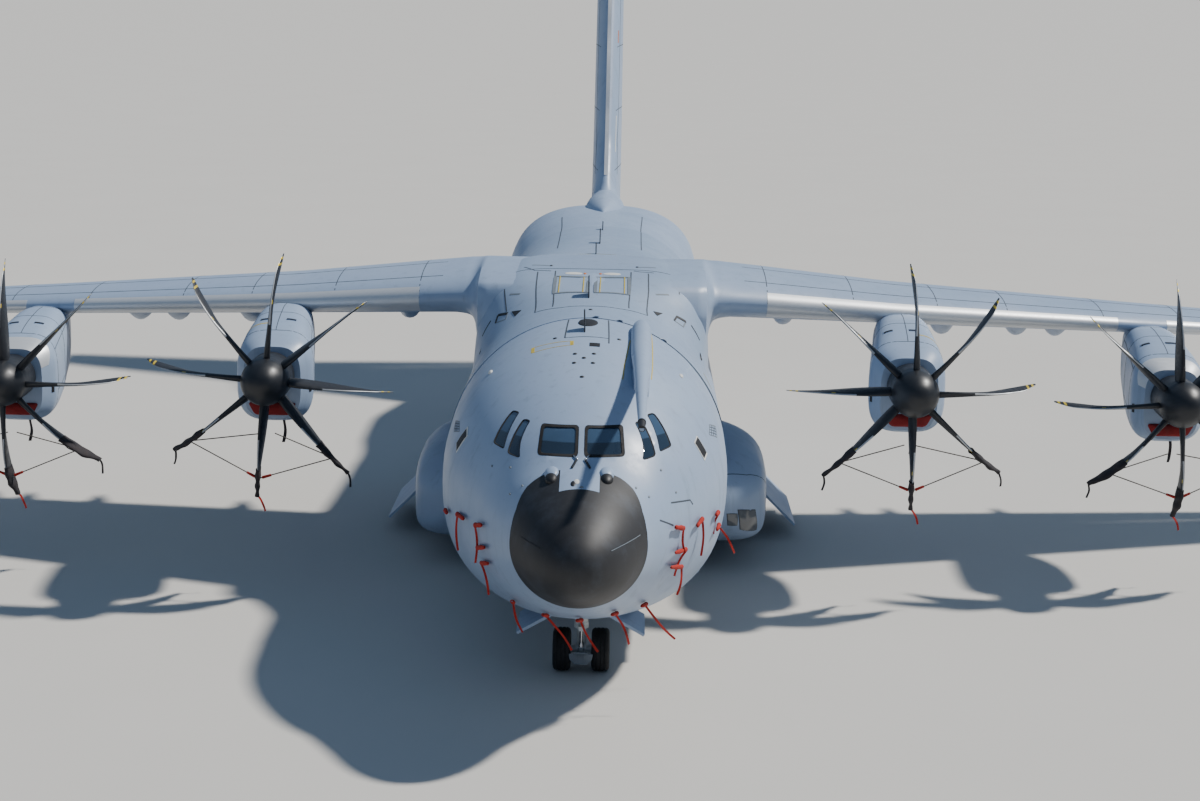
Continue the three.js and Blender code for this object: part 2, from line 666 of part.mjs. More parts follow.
// Twin wheels: half of the axle and one wheel, radius and distance from the middle.
function twinWheels(x, s, radius, gauge, width) {
  const rim = radius * 0.55;
  const half = [
    [axleRadius, 0.12], [rim, 0.13], [radius * 0.8, gauge - width / 2],
    [radius, gauge - width * 0.27], [radius, gauge + width * 0.27],
    [radius * 0.8, gauge + width / 2], [rim, gauge + width / 2 - 0.03],
    [0.0, gauge + width / 2 - 0.05],
  ];
  const outline = [
    ...half.map(([r, along]) => [r, -along]).reverse(),
    ...half,
  ];
  const points = outline.map(([r, along]) => new THREE.Vector2(r * metre, along * metre));
  const geometry = new THREE.LatheGeometry(points, 20);
  geometry.rotateZ(-Math.PI / 2);
  const middle = at(x, s, radius);
  geometry.translate(middle.x, middle.y, middle.z);
  return fromGeometry(geometry);
}
const wheelNames = ["front", "middle", "rear"];
mainWheelS.forEach((s, i) => {
  addPair(`main_wheels_${wheelNames[i]}`,
    twinWheels(mainWheelX, s, mainWheelRadius, 0.33, 0.39), "rubber");
});

// Nose gear: a fixed upper strut and a steered lower strut that carries the axle.
const steerZ = 0.98;
addPart("nose_gear_strut", joined([
  rod([0, noseWheelS, floorTop - 0.12 - seat], [0, noseWheelS, steerZ], 0.13, 16),
  rod([0, noseWheelS + 0.75, floorTop - 0.2], [0, noseWheelS + 0.08, steerZ + 0.12], 0.05, 10),
  box(-0.1, 0.1, noseWheelS + 0.65, noseWheelS + 0.85, floorTop - 0.24, floorTop - 0.12 - seat),
  box(-0.3, 0.3, noseWheelS - 0.1, noseWheelS + 0.1, floorTop - 0.3, floorTop - 0.12 - seat),
]), "gear");
addPart("nose_gear_fork", joined([
  rod([0, noseWheelS, steerZ - seat], [0, noseWheelS, noseWheelRadius], 0.085, 16),
  rod([0, noseWheelS, steerZ - seat], [0, noseWheelS, steerZ - 0.12], 0.14, 16),
  rod([-0.1, noseWheelS, noseWheelRadius], [0.1, noseWheelS, noseWheelRadius], 0.14, 20),
  box(-0.05, 0.05, noseWheelS - 0.3, noseWheelS - 0.04, steerZ - 0.12, steerZ - 0.03),
]).subtract(rod([-0.3, noseWheelS, noseWheelRadius], [0.3, noseWheelS, noseWheelRadius],
  axleBore, 20)), "gear");
addPart("nose_wheels", twinWheels(0, noseWheelS, noseWheelRadius, 0.375, 0.35), "rubber");

const noseDoor = frontPrism([
  [0.47, 1.40], [0.51, 1.44], [1.22, 1.03], [1.19, 0.99],
], noseBay.s0 + 0.1, noseBay.s1 - 0.5);
addPair("nose_gear_door", noseDoor.subtract(bodyClear), "paint");
const mainDoor = frontPrism([
  [3.95, 1.26], [3.99, 1.30], [4.93, 0.36], [4.895, 0.32],
], gearBay.s0 - 0.4, gearBay.s0 + 2.6);
addPair("main_gear_door", mainDoor.subtract(sponsonLoft(seat)), "paint");

// Fin sections: height, leading edge, chord, thickness.
const finRows = [
  [5.30, 30.2, 10.2, 0.92],
  [6.80, 34.0, 6.8, 0.92],
  [8.20, 35.5, 5.9, 0.92],
  [13.75, 39.2, 4.4, 0.88],
];

// Fairing round the fin's foot: station, height of its middle, half width, half height.
const finFootRows = [
  [29.4, 6.30, 0.06, 0.22], [30.2, 6.20, 0.42, 0.52], [31.4, 6.10, 0.66, 0.76],
  [34.0, 5.90, 0.66, 0.86], [38.0, 5.50, 0.46, 0.72], [41.2, 5.25, 0.20, 0.50],
];
const finFoot = loft(finFootRows.map(([s, middle, halfWidth, halfHeight]) => {
  const ring = [];
  for (let i = 0; i < 12; i += 1) {
    const angle = (2 * Math.PI * i) / 12;
    ring.push(at(halfWidth * Math.sin(angle), s, middle + halfHeight * Math.cos(angle)));
  }
  return ring;
}));

function finRing([z, edgeS, chord, thickness], grow) {
  return [
    [0.0, 0.0], [0.03, 0.22], [0.12, 0.40], [0.35, 0.5], [0.7, 0.34], [1.0, 0.03],
    [1.0, -0.03], [0.7, -0.34], [0.35, -0.5], [0.12, -0.40], [0.03, -0.22],
  ].map(([share, side]) => at(side * thickness + Math.sign(side) * grow, edgeS + share * chord, z));
}

const rudder = { bottom: 7.15, top: 13.3, share: 0.72 };
const finHinge = (z) => {
  const [, edgeS, chord] = wingRow(finRows, z);
  return [0, edgeS + rudder.share * chord, z];
};
const rudderHinge = [finHinge(rudder.bottom), finHinge(rudder.top)];
const rudderPlan = (back, ahead, inset) => sidePrism(
  surfacePlan(...rudderHinge.map(([, s, z]) => [z, s]), back, ahead, inset).map(([z, s]) => [s, z]),
  -1, 1);
const finSolid = loft(finRows.map((row) => finRing(row, 0)));
addPart("fin", finSolid
  .add(finFoot)
  .subtract(bodyClear)
  .subtract(rudderPlan(4, 0.18, 0))
  .add(joined(pivots(...rudderHinge, 0.03))), "paint");
addPart("rudder", finSolid
  .intersect(rudderPlan(4, 0, swing))
  .add(hingeTube(...rudderHinge, 0.13, 0.10)), "paint");

// Tailplane sections: distance out, leading edge, height, chord, thickness.
const tailRows = [
  [0.0, 39.6, 14.16, 4.60, 0.46],
  [1.2, 40.4, 14.16, 4.05, 0.42],
  [7.6, 43.12, 14.16, 1.98, 0.20],
  [7.9, 43.5, 14.16, 1.56, 0.14],
];

function tailRing([x, edgeS, edgeZ, chord, thickness], grow) {
  return profile.map(([share, lift]) => at(
    x, edgeS + share * chord, edgeZ + lift * thickness + Math.sign(lift) * grow));
}

const elevator = { inner: 0.8, outer: 7.2, share: 0.68 };
const elevatorHinge = [elevator.inner, elevator.outer].map((x) => {
  const [, edgeS, edgeZ, chord, thickness] = wingRow(tailRows, x);
  return [x, edgeS + elevator.share * chord, edgeZ + 0.06 * thickness];
});
const elevatorPlan = (back, ahead, inset) => planPrism(
  surfacePlan(...elevatorHinge.map(([x, s]) => [x, s]), back, ahead, inset), 13, 15);
const tailHalf = wingLoft(tailRows, 0, tailRing);
const tailSolid = tailHalf.add(mirrored(tailHalf));
const elevatorBay = elevatorPlan(2.5, 0.1, 0);
const elevatorPivots = joined(pivots(...elevatorHinge, 0.02));
// Bullet fairing where the tailplane meets the fin: station, radius.
const bulletRows = [[38.4, 0.05], [39.3, 0.34], [41.0, 0.50], [43.4, 0.38], [44.9, 0.10]];
const bullet = loft(bulletRows.map(([s, radius]) => {
  const ring = [];
  for (let i = 0; i < 16; i += 1) {
    const angle = (2 * Math.PI * i) / 16;
    ring.push(at(radius * Math.sin(angle), s, 14.216 + 1.1 * radius * Math.cos(angle)));
  }
  return ring;
}));
const tailplane = tailSolid
  .subtract(elevatorBay)
  .subtract(mirrored(elevatorBay))
  .add(bullet)
  .add(elevatorPivots)
  .add(mirrored(elevatorPivots))
  .subtract(box(-1, 1, 38, 45, 13, 13.75 + seat));
addPart("tailplane", tailplane, "paint");
addPair("elevator", tailHalf
  .intersect(elevatorPlan(2.5, 0, swing * 1.4))
  .subtract(bullet)
  .add(hingeTube(...elevatorHinge, 0.075, 0.04)), "paint");

// Refuelling probe: the tube's station, height and radius, and the fairing under it.
const probeX = 1.06;
const probeRows = [
  [1.00, 5.69, 0.045], [1.12, 5.71, 0.055], [1.75, 5.77, 0.075], [3.20, 5.93, 0.115],
  [4.70, 6.08, 0.155], [6.00, 6.21, 0.20], [7.40, 6.34, 0.20], [7.95, 6.38, 0.15], [8.15, 6.38, 0.06],
];
const probeTube = loft(probeRows.map(([s, z, radius]) => {
  const ring = [];
  for (let i = 0; i < 12; i += 1) {
    const angle = (2 * Math.PI * i) / 12;
    ring.push(at(probeX + radius * Math.sin(angle), s, z + radius * Math.cos(angle)));
  }
  return ring;
}));
const probeFoot = loft([
  [4.5, 0.90, 1.20, 5.95], [5.2, 0.74, 1.27, 6.12], [6.6, 0.80, 1.28, 6.26], [8.1, 0.92, 1.22, 6.36],
].map(([s, left, right, z]) => [
  at(left, s, 5.3), at(probeX - 0.13, s, z), at(probeX + 0.13, s, z), at(right, s, 5.3),
]));
addPart("refuelling_probe", probeTube.add(probeFoot).subtract(bodyClear), "paint");

export default plane;
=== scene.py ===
import json
import math

import bpy
import numpy as np
from mathutils import Matrix, Vector
from mathutils.bvhtree import BVHTree


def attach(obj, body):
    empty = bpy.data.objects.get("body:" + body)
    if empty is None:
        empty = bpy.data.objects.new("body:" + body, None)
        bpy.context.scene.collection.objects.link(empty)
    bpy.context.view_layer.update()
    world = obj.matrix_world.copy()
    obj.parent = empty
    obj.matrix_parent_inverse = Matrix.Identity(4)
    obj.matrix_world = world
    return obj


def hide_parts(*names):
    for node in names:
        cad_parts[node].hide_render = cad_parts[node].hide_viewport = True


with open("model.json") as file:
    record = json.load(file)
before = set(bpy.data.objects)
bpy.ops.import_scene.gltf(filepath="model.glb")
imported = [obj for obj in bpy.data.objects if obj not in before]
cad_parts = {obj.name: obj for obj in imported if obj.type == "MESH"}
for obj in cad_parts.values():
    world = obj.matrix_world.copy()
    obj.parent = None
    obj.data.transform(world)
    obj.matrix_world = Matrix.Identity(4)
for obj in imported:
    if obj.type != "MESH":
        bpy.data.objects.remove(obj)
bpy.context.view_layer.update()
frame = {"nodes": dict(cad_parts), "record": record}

# Sizes are in metres of the full-size plane: x to port, s aft from the nose tip, z up.
modelScale = 0.5
halfLength = 22.55
skinDepth = 0.14
fullTurn = 2 * math.pi


def place(x, s, z):  # from the full-size plane to the 1:2 model
    return Vector((x * modelScale, (s - halfLength) * modelScale, z * modelScale))


def fullSize(spot):  # and back
    return Vector((spot.x / modelScale, spot.y / modelScale + halfLength, spot.z / modelScale))


# --- modelling helpers

def makeActive(piece=None):  # with no piece, everything is only deselected
    if bpy.context.object and bpy.context.object.mode != "OBJECT":
        bpy.ops.object.mode_set(mode="OBJECT")
    bpy.ops.object.select_all(action="DESELECT")
    if piece:
        piece.select_set(True)
        bpy.context.view_layer.objects.active = piece


def editAll(piece, *steps):  # each step works on all that the piece has
    makeActive(piece)
    bpy.ops.object.mode_set(mode="EDIT")
    for step, settings in steps:
        bpy.ops.mesh.select_all(action="SELECT")
        step(**settings)
    bpy.ops.object.mode_set(mode="OBJECT")
    return piece


def tidyFaces(piece, fill=True):
    holes = [(bpy.ops.mesh.fill_holes, {"sides": 0})] if fill else []
    return editAll(piece, (bpy.ops.mesh.remove_doubles, {"threshold": 1e-5}), *holes,
                   (bpy.ops.mesh.normals_make_consistent, {"inside": False}))


def modify(piece, kind, **settings):
    makeActive(piece)
    change = piece.modifiers.new(kind, kind)
    for key, value in settings.items():
        setattr(change, key, value)
    bpy.ops.object.modifier_apply(modifier=change.name)
    return piece


def cut(piece, cutter, how="DIFFERENCE", keep=False):
    modify(piece, "BOOLEAN", object=cutter, operation=how, solver="EXACT")
    if not keep:
        bpy.data.objects.remove(cutter)
    return piece


def softenEdges(piece, width):
    return modify(piece, "BEVEL", width=width, segments=2, limit_method="ANGLE", angle_limit=math.radians(35))


def gridPiece(name, across, along, pointAt):
    makeActive()
    bpy.ops.mesh.primitive_grid_add(x_subdivisions=across, y_subdivisions=along, size=2)
    piece = bpy.context.object
    piece.name = name
    for corner in piece.data.vertices:
        corner.co = pointAt((corner.co.x + 1) / 2, (corner.co.y + 1) / 2)
    return piece


def closedPiece(name, across, along, pointAt):
    return tidyFaces(gridPiece(name, across, along, pointAt))


def shellPiece(name, across, along, pointAt, depth):
    piece = tidyFaces(gridPiece(name, across, along, pointAt), fill=False)
    return modify(piece, "SOLIDIFY", thickness=depth * modelScale, offset=0)


def prism(outline, axis, low, high):
    makeActive()
    bpy.ops.mesh.primitive_circle_add(vertices=len(outline), fill_type="NGON")
    piece = bpy.context.object
    spread = {
        "x": lambda a, b, c: place(c, a, b),
        "s": lambda a, b, c: place(a, c, b),
        "z": lambda a, b, c: place(a, b, c),
    }[axis]
    for corner, (a, b) in zip(piece.data.vertices, outline):
        corner.co = spread(a, b, low)
    push = spread(0, 0, high) - spread(0, 0, low)
    editAll(piece, (bpy.ops.mesh.extrude_region_move, {"TRANSFORM_OT_translate": {"value": push}}))
    return tidyFaces(piece, fill=False)


def boxPiece(x0, x1, s0, s1, z0, z1):
    return prism([(x0, s0), (x1, s0), (x1, s1), (x0, s1)], "z", z0, z1)


def rodPiece(start, end, radius, endRadius=None, sides=16):
    start, end = place(*start), place(*end)
    along = end - start
    makeActive()
    bpy.ops.mesh.primitive_cone_add(
        vertices=sides, radius1=radius * modelScale,
        radius2=(radius if endRadius is None else endRadius) * modelScale, depth=along.length)
    piece = bpy.context.object
    turn = along.to_track_quat("Z", "Y").to_matrix().to_4x4()
    piece.data.transform(Matrix.Translation((start + end) / 2) @ turn)
    return piece


def joinPieces(name, pieces):
    makeActive()
    for piece in pieces:
        piece.select_set(True)
    bpy.context.view_layer.objects.active = pieces[0]
    bpy.ops.object.join()
    pieces[0].name = name
    return pieces[0]


def copyOf(piece):
    makeActive(piece)
    bpy.ops.object.duplicate()
    return bpy.context.object


def mirroredCopy(piece, name="twin"):
    twin = copyOf(piece)
    twin.name = name
    twin.data.transform(Matrix.Scale(-1, 4, (1, 0, 0)))
    return editAll(twin, (bpy.ops.mesh.flip_normals, {}))


def dress(piece, finish, body="airframe", slotName="paint", standsFor=None, smooth=35):
    piece.data.materials.clear()
    piece.data.materials.append(finishes[finish])
    for face in piece.data.polygons:
        face.material_index = 0
    makeActive(piece)
    bpy.ops.object.shade_smooth_by_angle(angle=math.radians(smooth))
    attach(piece, body)
    if standsFor:
        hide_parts(standsFor)
    return piece


def dressJoined(name, pieces, *wear):
    return dress(joinPieces(name, pieces), *wear)


def dressPair(piece, finish, body="airframe", slotName="paint", standsFor=""):  # port, and its starboard twin
    for half in (piece, mirroredCopy(piece, piece.name.replace("port", "starboard"))):
        dress(half, finish, body, slotName, standsFor)
        body, standsFor = body.replace("port", "starboard"), standsFor.replace("port", "starboard")


# --- section tables, curved smoothly between their rows

def slopesOf(rows):
    table = np.array(rows, float)
    steps = np.diff(table[:, 0])[:, None]
    rise = np.diff(table[:, 1:], axis=0) / steps
    slopes = np.zeros((len(rows), table.shape[1] - 1))
    slopes[0], slopes[-1] = rise[0], rise[-1]
    before, after = rise[:-1], rise[1:]
    same = before * after > 0
    total = np.where(same, before + after, 1.0)
    slopes[1:-1] = np.where(same, 2 * before * after / total, 0.0)
    return table, slopes


def smoothRow(curve, s):
    table, slopes = curve
    k = int(np.clip(np.searchsorted(table[:, 0], s), 1, len(table) - 1))
    width = table[k, 0] - table[k - 1, 0]
    t = min(max((s - table[k - 1, 0]) / width, 0.0), 1.0)
    a = 2 * t ** 3 - 3 * t ** 2 + 1
    b = (t ** 3 - 2 * t ** 2 + t) * width
    d = (t ** 3 - t ** 2) * width
    return (a * table[k - 1, 1:] + b * slopes[k - 1] + (1 - a) * table[k, 1:] + d * slopes[k]).tolist()


def straightRow(rows, at):
    table = np.array(rows, float)
    return [float(np.interp(at, table[:, 0], table[:, c])) for c in range(1, table.shape[1])]


def power(value, exponent):
    return math.copysign(abs(value) ** exponent, value)


def ringPoint(x, s, z, across, up, u):
    return place(x + across * math.sin(fullTurn * u), s, z + up * math.cos(fullTurn * u))


# Fuselage: station, crown, keel, half width, widest height, squareness of keel and of crown.
fuselageRows = slopesOf([
    (0.00, 3.46, 3.34, 0.06, 3.40, 2.0, 2.0), (0.20, 3.85, 2.97, 0.45, 3.41, 2.0, 2.0),
    (0.80, 4.25, 2.62, 0.88, 3.43, 2.0, 2.0), (1.75, 4.62, 2.28, 1.25, 3.48, 2.0, 2.0),
    (2.45, 4.84, 1.96, 1.60, 3.50, 2.05, 2.0), (3.15, 5.34, 1.70, 1.92, 3.52, 2.1, 2.0),
    (4.00, 5.72, 1.45, 2.28, 3.52, 2.2, 2.0), (5.00, 6.04, 1.22, 2.58, 3.54, 2.3, 2.0),
    (6.00, 6.28, 1.05, 2.75, 3.58, 2.4, 2.0), (7.00, 6.42, 0.95, 2.81, 3.62, 2.5, 2.0),
    (8.40, 6.50, 0.88, 2.82, 3.66, 2.6, 2.0), (26.6, 6.50, 0.88, 2.82, 3.66, 2.6, 2.3),
    (29.0, 6.52, 1.25, 2.88, 3.85, 2.5, 2.6), (31.5, 6.50, 2.05, 2.82, 4.25, 2.4, 2.6),
    (34.0, 6.26, 2.95, 2.38, 4.65, 2.3, 2.4), (36.5, 6.03, 3.80, 1.80, 4.98, 2.2, 2.2),
    (39.0, 5.80, 4.52, 1.10, 5.20, 2.1, 2.1), (41.4, 5.55, 4.98, 0.40, 5.28, 2.0, 2.0),
])
noseTip = {"stations": (0.0, 0.012, 0.05, 0.12, 0.2), "heights": (0.0, 0.13, 0.235, 0.37, 0.47), "middle": 3.41}


def fuselagePoint(s, around, grow=0.0):
    crown, keel, halfWidth, middle, keelPower, crownPower = smoothRow(fuselageRows, s)
    if s < 0.2:  # the tip is round
        share = float(np.interp(s, noseTip["stations"], noseTip["heights"])) / 0.47
        middle = noseTip["middle"]
        crown, keel, halfWidth = middle + 0.44 * share, middle - 0.44 * share, 0.45 * share
    sine, cosine = math.sin(around), math.cos(around)
    bend = 2 / (keelPower if cosine < 0 else crownPower)
    height = (middle - keel if cosine < 0 else crown - middle) + grow
    return place((halfWidth + grow) * power(sine, bend), s, middle + height * power(cosine, bend))


def fuselageLoft(name, start, end, grow=0.0, rings=40):
    return closedPiece(name, 96, rings, lambda u, v: fuselagePoint(start + (end - start) * v, fullTurn * u, grow))


def radomeSpace(aft):
    joint = [(1.66, 0), (1.66, 3.6), (1.70, 3.8), (1.80, 4.05), (1.95, 4.25), (2.06, 4.4), (2.14, 4.58), (2.14, 8)]
    space = prism([(-1, 0)] + [(s + aft, z) for s, z in joint] + [(-1, 8)], "x", -2, 2)
    return cut(space, boxPiece(-0.35 + aft, 0.35 - aft, 1.45 + aft, 3, 4.15, 9))


# Wing: distance out, leading edge station and height, chord, thickness.
wingRows = [
    (0.0, 11.80, 6.38, 7.74, 0.95), (2.1, 12.48, 6.26, 7.24, 1.10), (2.88, 12.73, 6.21, 7.06, 1.16),
    (3.6, 12.97, 6.15, 6.88, 1.11), (6.9, 14.04, 5.85, 6.09, 0.88), (13.0, 16.03, 5.37, 4.65, 0.64),
    (20.5, 18.46, 4.82, 2.88, 0.34), (21.2, 18.95, 4.77, 2.20, 0.20),
]
wingCamber = 0.035  # drop of the chord line towards the trailing edge
# The root flares into the body: distance out, share of the flare.
rootRows = slopesOf([
    (0.0, 1.0), (2.3, 1.0), (2.50, 0.96), (2.56, 0.64), (2.62, 0.36), (2.72, 0.15), (2.88, 0.05), (3.1, 0.0)])
rootFlare = {"forward": 0.9, "drop": 0.8, "rise": 0.12}
tailRows = [
    (0.0, 39.6, 14.16, 4.60, 0.46), (1.2, 40.4, 14.16, 4.05, 0.42), (7.6, 43.12, 14.16, 1.98, 0.20),
    (7.9, 43.5, 14.16, 1.56, 0.14),
]
finRows = [(5.30, 30.2, 10.2, 0.92), (6.80, 34.0, 6.8, 0.92), (8.20, 35.5, 5.9, 0.92), (13.75, 39.2, 4.4, 0.88)]


def sideCurve(*rows):  # share of the chord, height; the square root rounds the nose
    return slopesOf([(math.sqrt(share), height) for share, height in rows])


upperSide = sideCurve((0.0, 0.0), (0.02, 0.20), (0.08, 0.38), (0.20, 0.53), (0.38, 0.60), (0.58, 0.50), (0.80, 0.26),
                      (1.0, 0.02))
lowerSide = sideCurve((0.0, 0.0), (0.02, -0.15), (0.08, -0.28), (0.20, -0.38), (0.38, -0.40), (0.58, -0.32),
                      (0.80, -0.16), (1.0, -0.02))
finSide = sideCurve((0.0, 0.0), (0.03, 0.22), (0.12, 0.40), (0.35, 0.50), (0.7, 0.34), (1.0, 0.03))


def airfoil(turn, upper=upperSide, lower=lowerSide):  # 0 to 1: trailing edge, over the top, round the nose and back
    across = abs(1 - 2 * turn)
    share = 1 - math.cos(across * math.pi / 2)
    if across > 0.9999:
        return 1.0, 0.0
    return share, smoothRow(upper if turn < 0.5 else lower, math.sqrt(share))[0]


def wingPoint(x, share, lift, grow=0.0):
    edgeS, edgeZ, chord, thickness = straightRow(wingRows, x)
    front = smoothRow(rootRows, x)[0] * (1 - share)
    s = edgeS + share * chord + (share - 0.4) * 2 * grow - front ** 2 * rootFlare["forward"]
    z = edgeZ - wingCamber * share * chord + lift * thickness + (grow if lift > 0 else -grow)
    under = 0.35 * max(0.0, 1 - share / 0.03) if lift > 0 else min(1.0, 0.35 + share / 0.03)
    return place(x, s, z + front * (rootFlare["rise"] * (1 - under) - rootFlare["drop"] * under))


def tailPoint(x, share, lift):
    edgeS, edgeZ, chord, thickness = straightRow(tailRows, x)
    return place(x, edgeS + share * chord, edgeZ + lift * thickness)


def surfaceLoft(name, pointOf, stops, sides=72):
    def pointAt(u, v):
        return pointOf(stops[round(v * (len(stops) - 1))], *airfoil(u))
    return closedPiece(name, sides, len(stops) - 1, pointAt)


def surfacePlan(start, end, back, ahead, inset):
    along = (Vector(end) - Vector(start)).normalized()
    aft = Vector((-along.y, along.x))
    first, last = Vector(start) + along * inset, Vector(end) - along * inset
    return [tuple(p) for p in (first - aft * ahead, last - aft * ahead, last + aft * back, first + aft * back)]


# --- finishes

def addNode(tree, kind, inputs=(), **settings):  # an input is a number, a colour or another node's output
    node = tree.nodes.new("ShaderNode" + kind)
    for key, value in settings.items():
        setattr(node, key, value)
    fill(tree, node, dict(inputs))
    return node


def fill(tree, node, inputs):
    for key, value in inputs.items():
        socket = node.inputs[key]
        if isinstance(value, bpy.types.NodeSocket):
            tree.links.new(value, socket)
        else:
            socket.default_value = (*value, 1) if socket.type == "RGBA" else value


def newMaterial(name, inputsOf, **settings):
    material = bpy.data.materials.new(name)
    material.use_nodes = True
    tree = material.node_tree
    tree.nodes.clear()
    shader = tree.nodes.new("ShaderNodeBsdfPrincipled")
    tree.links.new(shader.outputs[0], tree.nodes.new("ShaderNodeOutputMaterial").inputs[0])
    fill(tree, shader, inputsOf(tree, **settings))
    return material


def coordinates(tree, output="Object"):
    return addNode(tree, "TexCoord").outputs[output]


def mathNode(tree, operation, first, second=0.0):
    return addNode(tree, "Math", {0: first, 1: second}, operation=operation).outputs[0]


def product(tree, first, *others):
    for other in others:
        first = mathNode(tree, "MULTIPLY", first, other)
    return first


def mixColour(tree, factor, first, second):
    return addNode(tree, "Mix", {0: factor, 6: first, 7: second}, data_type="RGBA").outputs[2]


def noiseNode(tree, vector, scale, detail=3.0, roughness=0.55, stretch=None):
    if stretch:
        vector = addNode(tree, "Mapping", {"Scale": stretch, "Vector": vector}).outputs[0]
    return addNode(tree, "TexNoise", {
        "Scale": scale, "Detail": detail, "Roughness": roughness, "Vector": vector}).outputs["Fac"]


def ramp(tree, value, low, high, fromLow=0.0, fromHigh=1.0):
    return addNode(tree, "MapRange", {"Value": value, "From Min": low, "From Max": high, "To Min": fromLow,
                                      "To Max": fromHigh}, interpolation_type="SMOOTHSTEP").outputs[0]


def bumpNode(tree, height, strength, distance):
    return addNode(tree, "Bump", {"Strength": strength, "Distance": distance, "Height": height}).outputs[0]


def shades(colour, *shares):
    return [tuple(min(1.0, c * share) for c in colour) for share in shares]


def skinWearGroup():  # fading, rain streaks, fine grime and a slight unevenness of the metal
    group = bpy.data.node_groups.new("skin wear", "ShaderNodeTree")
    for way, label, kind, value in (
            ("INPUT", "Vector", "Vector", None), ("INPUT", "Colour", "Color", (0.5, 0.5, 0.5, 1)),
            ("INPUT", "Fade", "Float", 0.12), ("INPUT", "Streaks", "Float", 0.25), ("OUTPUT", "Colour", "Color", None),
            ("OUTPUT", "Roughness", "Float", None), ("OUTPUT", "Height", "Float", None)):
        socket = group.interface.new_socket(label, in_out=way, socket_type="NodeSocket" + kind)
        if value is not None:
            socket.default_value = value
    start, end = group.nodes.new("NodeGroupInput").outputs, group.nodes.new("NodeGroupOutput")
    vector = start["Vector"]
    broad = noiseNode(group, vector, 0.55, 4, 0.6)
    patches = noiseNode(group, vector, 2.6, 5, 0.65)
    streaks = noiseNode(group, vector, 1.0, 5, 0.7, (9.0, 9.0, 0.7))
    speckle = noiseNode(group, vector, 38.0, 3, 0.6)
    fade = product(group, ramp(group, broad, 0.35, 0.7), start["Fade"])
    pale = mixColour(group, fade, start["Colour"], (0.52, 0.60, 0.70))
    dirt = product(group, ramp(group, streaks, 0.52, 0.74), start["Streaks"])
    worn = mixColour(group, dirt, pale, (0.12, 0.15, 0.19))
    mottled = mixColour(group, product(group, ramp(group, patches, 0.45, 0.75), 0.10), worn, (0.20, 0.25, 0.33))
    grime = product(group, ramp(group, speckle, 0.62, 0.78), 0.10)
    rough = mathNode(group, "ADD", ramp(group, patches, 0.3, 0.8, 0.36, 0.54), product(group, dirt, 0.2))
    fill(group, end, {"Colour": mixColour(group, grime, mottled, (0.12, 0.12, 0.12)), "Roughness": rough,
                      "Height": noiseNode(group, vector, 3.2, 2, 0.5)})
    return group


skinWear = skinWearGroup()


def paint(tree, colour, fade=0.12, streaks=0.25, bump=0.04, roughness=None):
    wear = addNode(tree, "Group", node_tree=skinWear)
    fill(tree, wear, {"Vector": coordinates(tree), "Colour": colour, "Fade": fade, "Streaks": streaks})
    return {"Base Color": wear.outputs["Colour"], "Roughness": roughness or wear.outputs["Roughness"],
            "Normal": bumpNode(tree, wear.outputs["Height"], bump, 0.05)}


def plain(tree, colour, roughness, metallic=0.0, grain=0.12, scale=25.0, stretch=None):
    noise = noiseNode(tree, coordinates(tree), scale, 4, 0.6, stretch)
    rough = ramp(tree, noise, 0.2, 0.8, roughness * 0.85, min(1.0, roughness * 1.15))
    return {"Base Color": mixColour(tree, noise, *shades(colour, 1 - grain, 1 + grain)), "Roughness": rough,
            "Metallic": metallic}


def glass(tree, colour, roughness):  # painted reflection and painted shade: paler, a painted sky reflection, above the line where the cabin's shade begins, and darker, a painted shade, below it
    vector = coordinates(tree)
    height = addNode(tree, "SeparateXYZ", {0: vector}).outputs[2]
    clear = mixColour(tree, noiseNode(tree, vector, 6.0, 3, 0.5), *shades(colour, 0.8, 1.0))
    # darker painted shade below the set height, the paler painted reflection above it
    return {"Base Color": mixColour(tree, ramp(tree, height, 2.522, 2.536), shades(colour, 0.3)[0], clear),
            "Roughness": roughness, "IOR": 1.5, "Transmission Weight": 0.2, "Coat Weight": 0.6,
            "Coat Roughness": 0.03}


def cloth(tree, colour):
    vector = coordinates(tree)
    weave = addNode(tree, "TexWave", {"Scale": 260.0, "Distortion": 1.5, "Vector": vector}, wave_type="BANDS",
                    bands_direction="DIAGONAL").outputs["Fac"]
    soiling = ramp(tree, noiseNode(tree, vector, 7.0, 4, 0.65), 0.45, 0.8, 0.0, 0.35)
    woven = mixColour(tree, weave, *shades(colour, 0.78, 1.0))
    return {"Base Color": mixColour(tree, soiling, woven, (0.08, 0.05, 0.045)), "Roughness": 0.88,
            "Normal": bumpNode(tree, weave, 0.25, 0.002)}


def bladePaint(tree):  # a bare leading edge, two yellow tip bands and a small mark at mid span
    parts = addNode(tree, "SeparateXYZ", {0: coordinates(tree, "UV")})
    around, out = parts.outputs[0], parts.outputs[1]
    yellow = (0.62, 0.46, 0.03)

    def near(value, centre, reach):
        away = mathNode(tree, "ABSOLUTE", mathNode(tree, "SUBTRACT", value, centre))
        return mathNode(tree, "LESS_THAN", away, reach)
    noise = noiseNode(tree, coordinates(tree), 30.0, 4, 0.6)
    metal = product(tree, near(around, 0.5, 0.085), mathNode(tree, "GREATER_THAN", out, 0.40))
    colour = mixColour(tree, noise, (0.008, 0.010, 0.014), (0.022, 0.025, 0.032))
    colour = mixColour(tree, metal, colour, (0.42, 0.44, 0.46))
    for band in (0.915, 0.965):
        colour = mixColour(tree, product(tree, near(out, band, 0.010), 0.9), colour, yellow)
    mark = product(tree, near(around, 0.38, 0.035), near(out, 0.60, 0.018), 0.8)
    return {"Base Color": mixColour(tree, mark, colour, yellow), "Metallic": product(tree, metal, 0.8),
            "Roughness": ramp(tree, noise, 0.3, 0.7, 0.42, 0.6)}


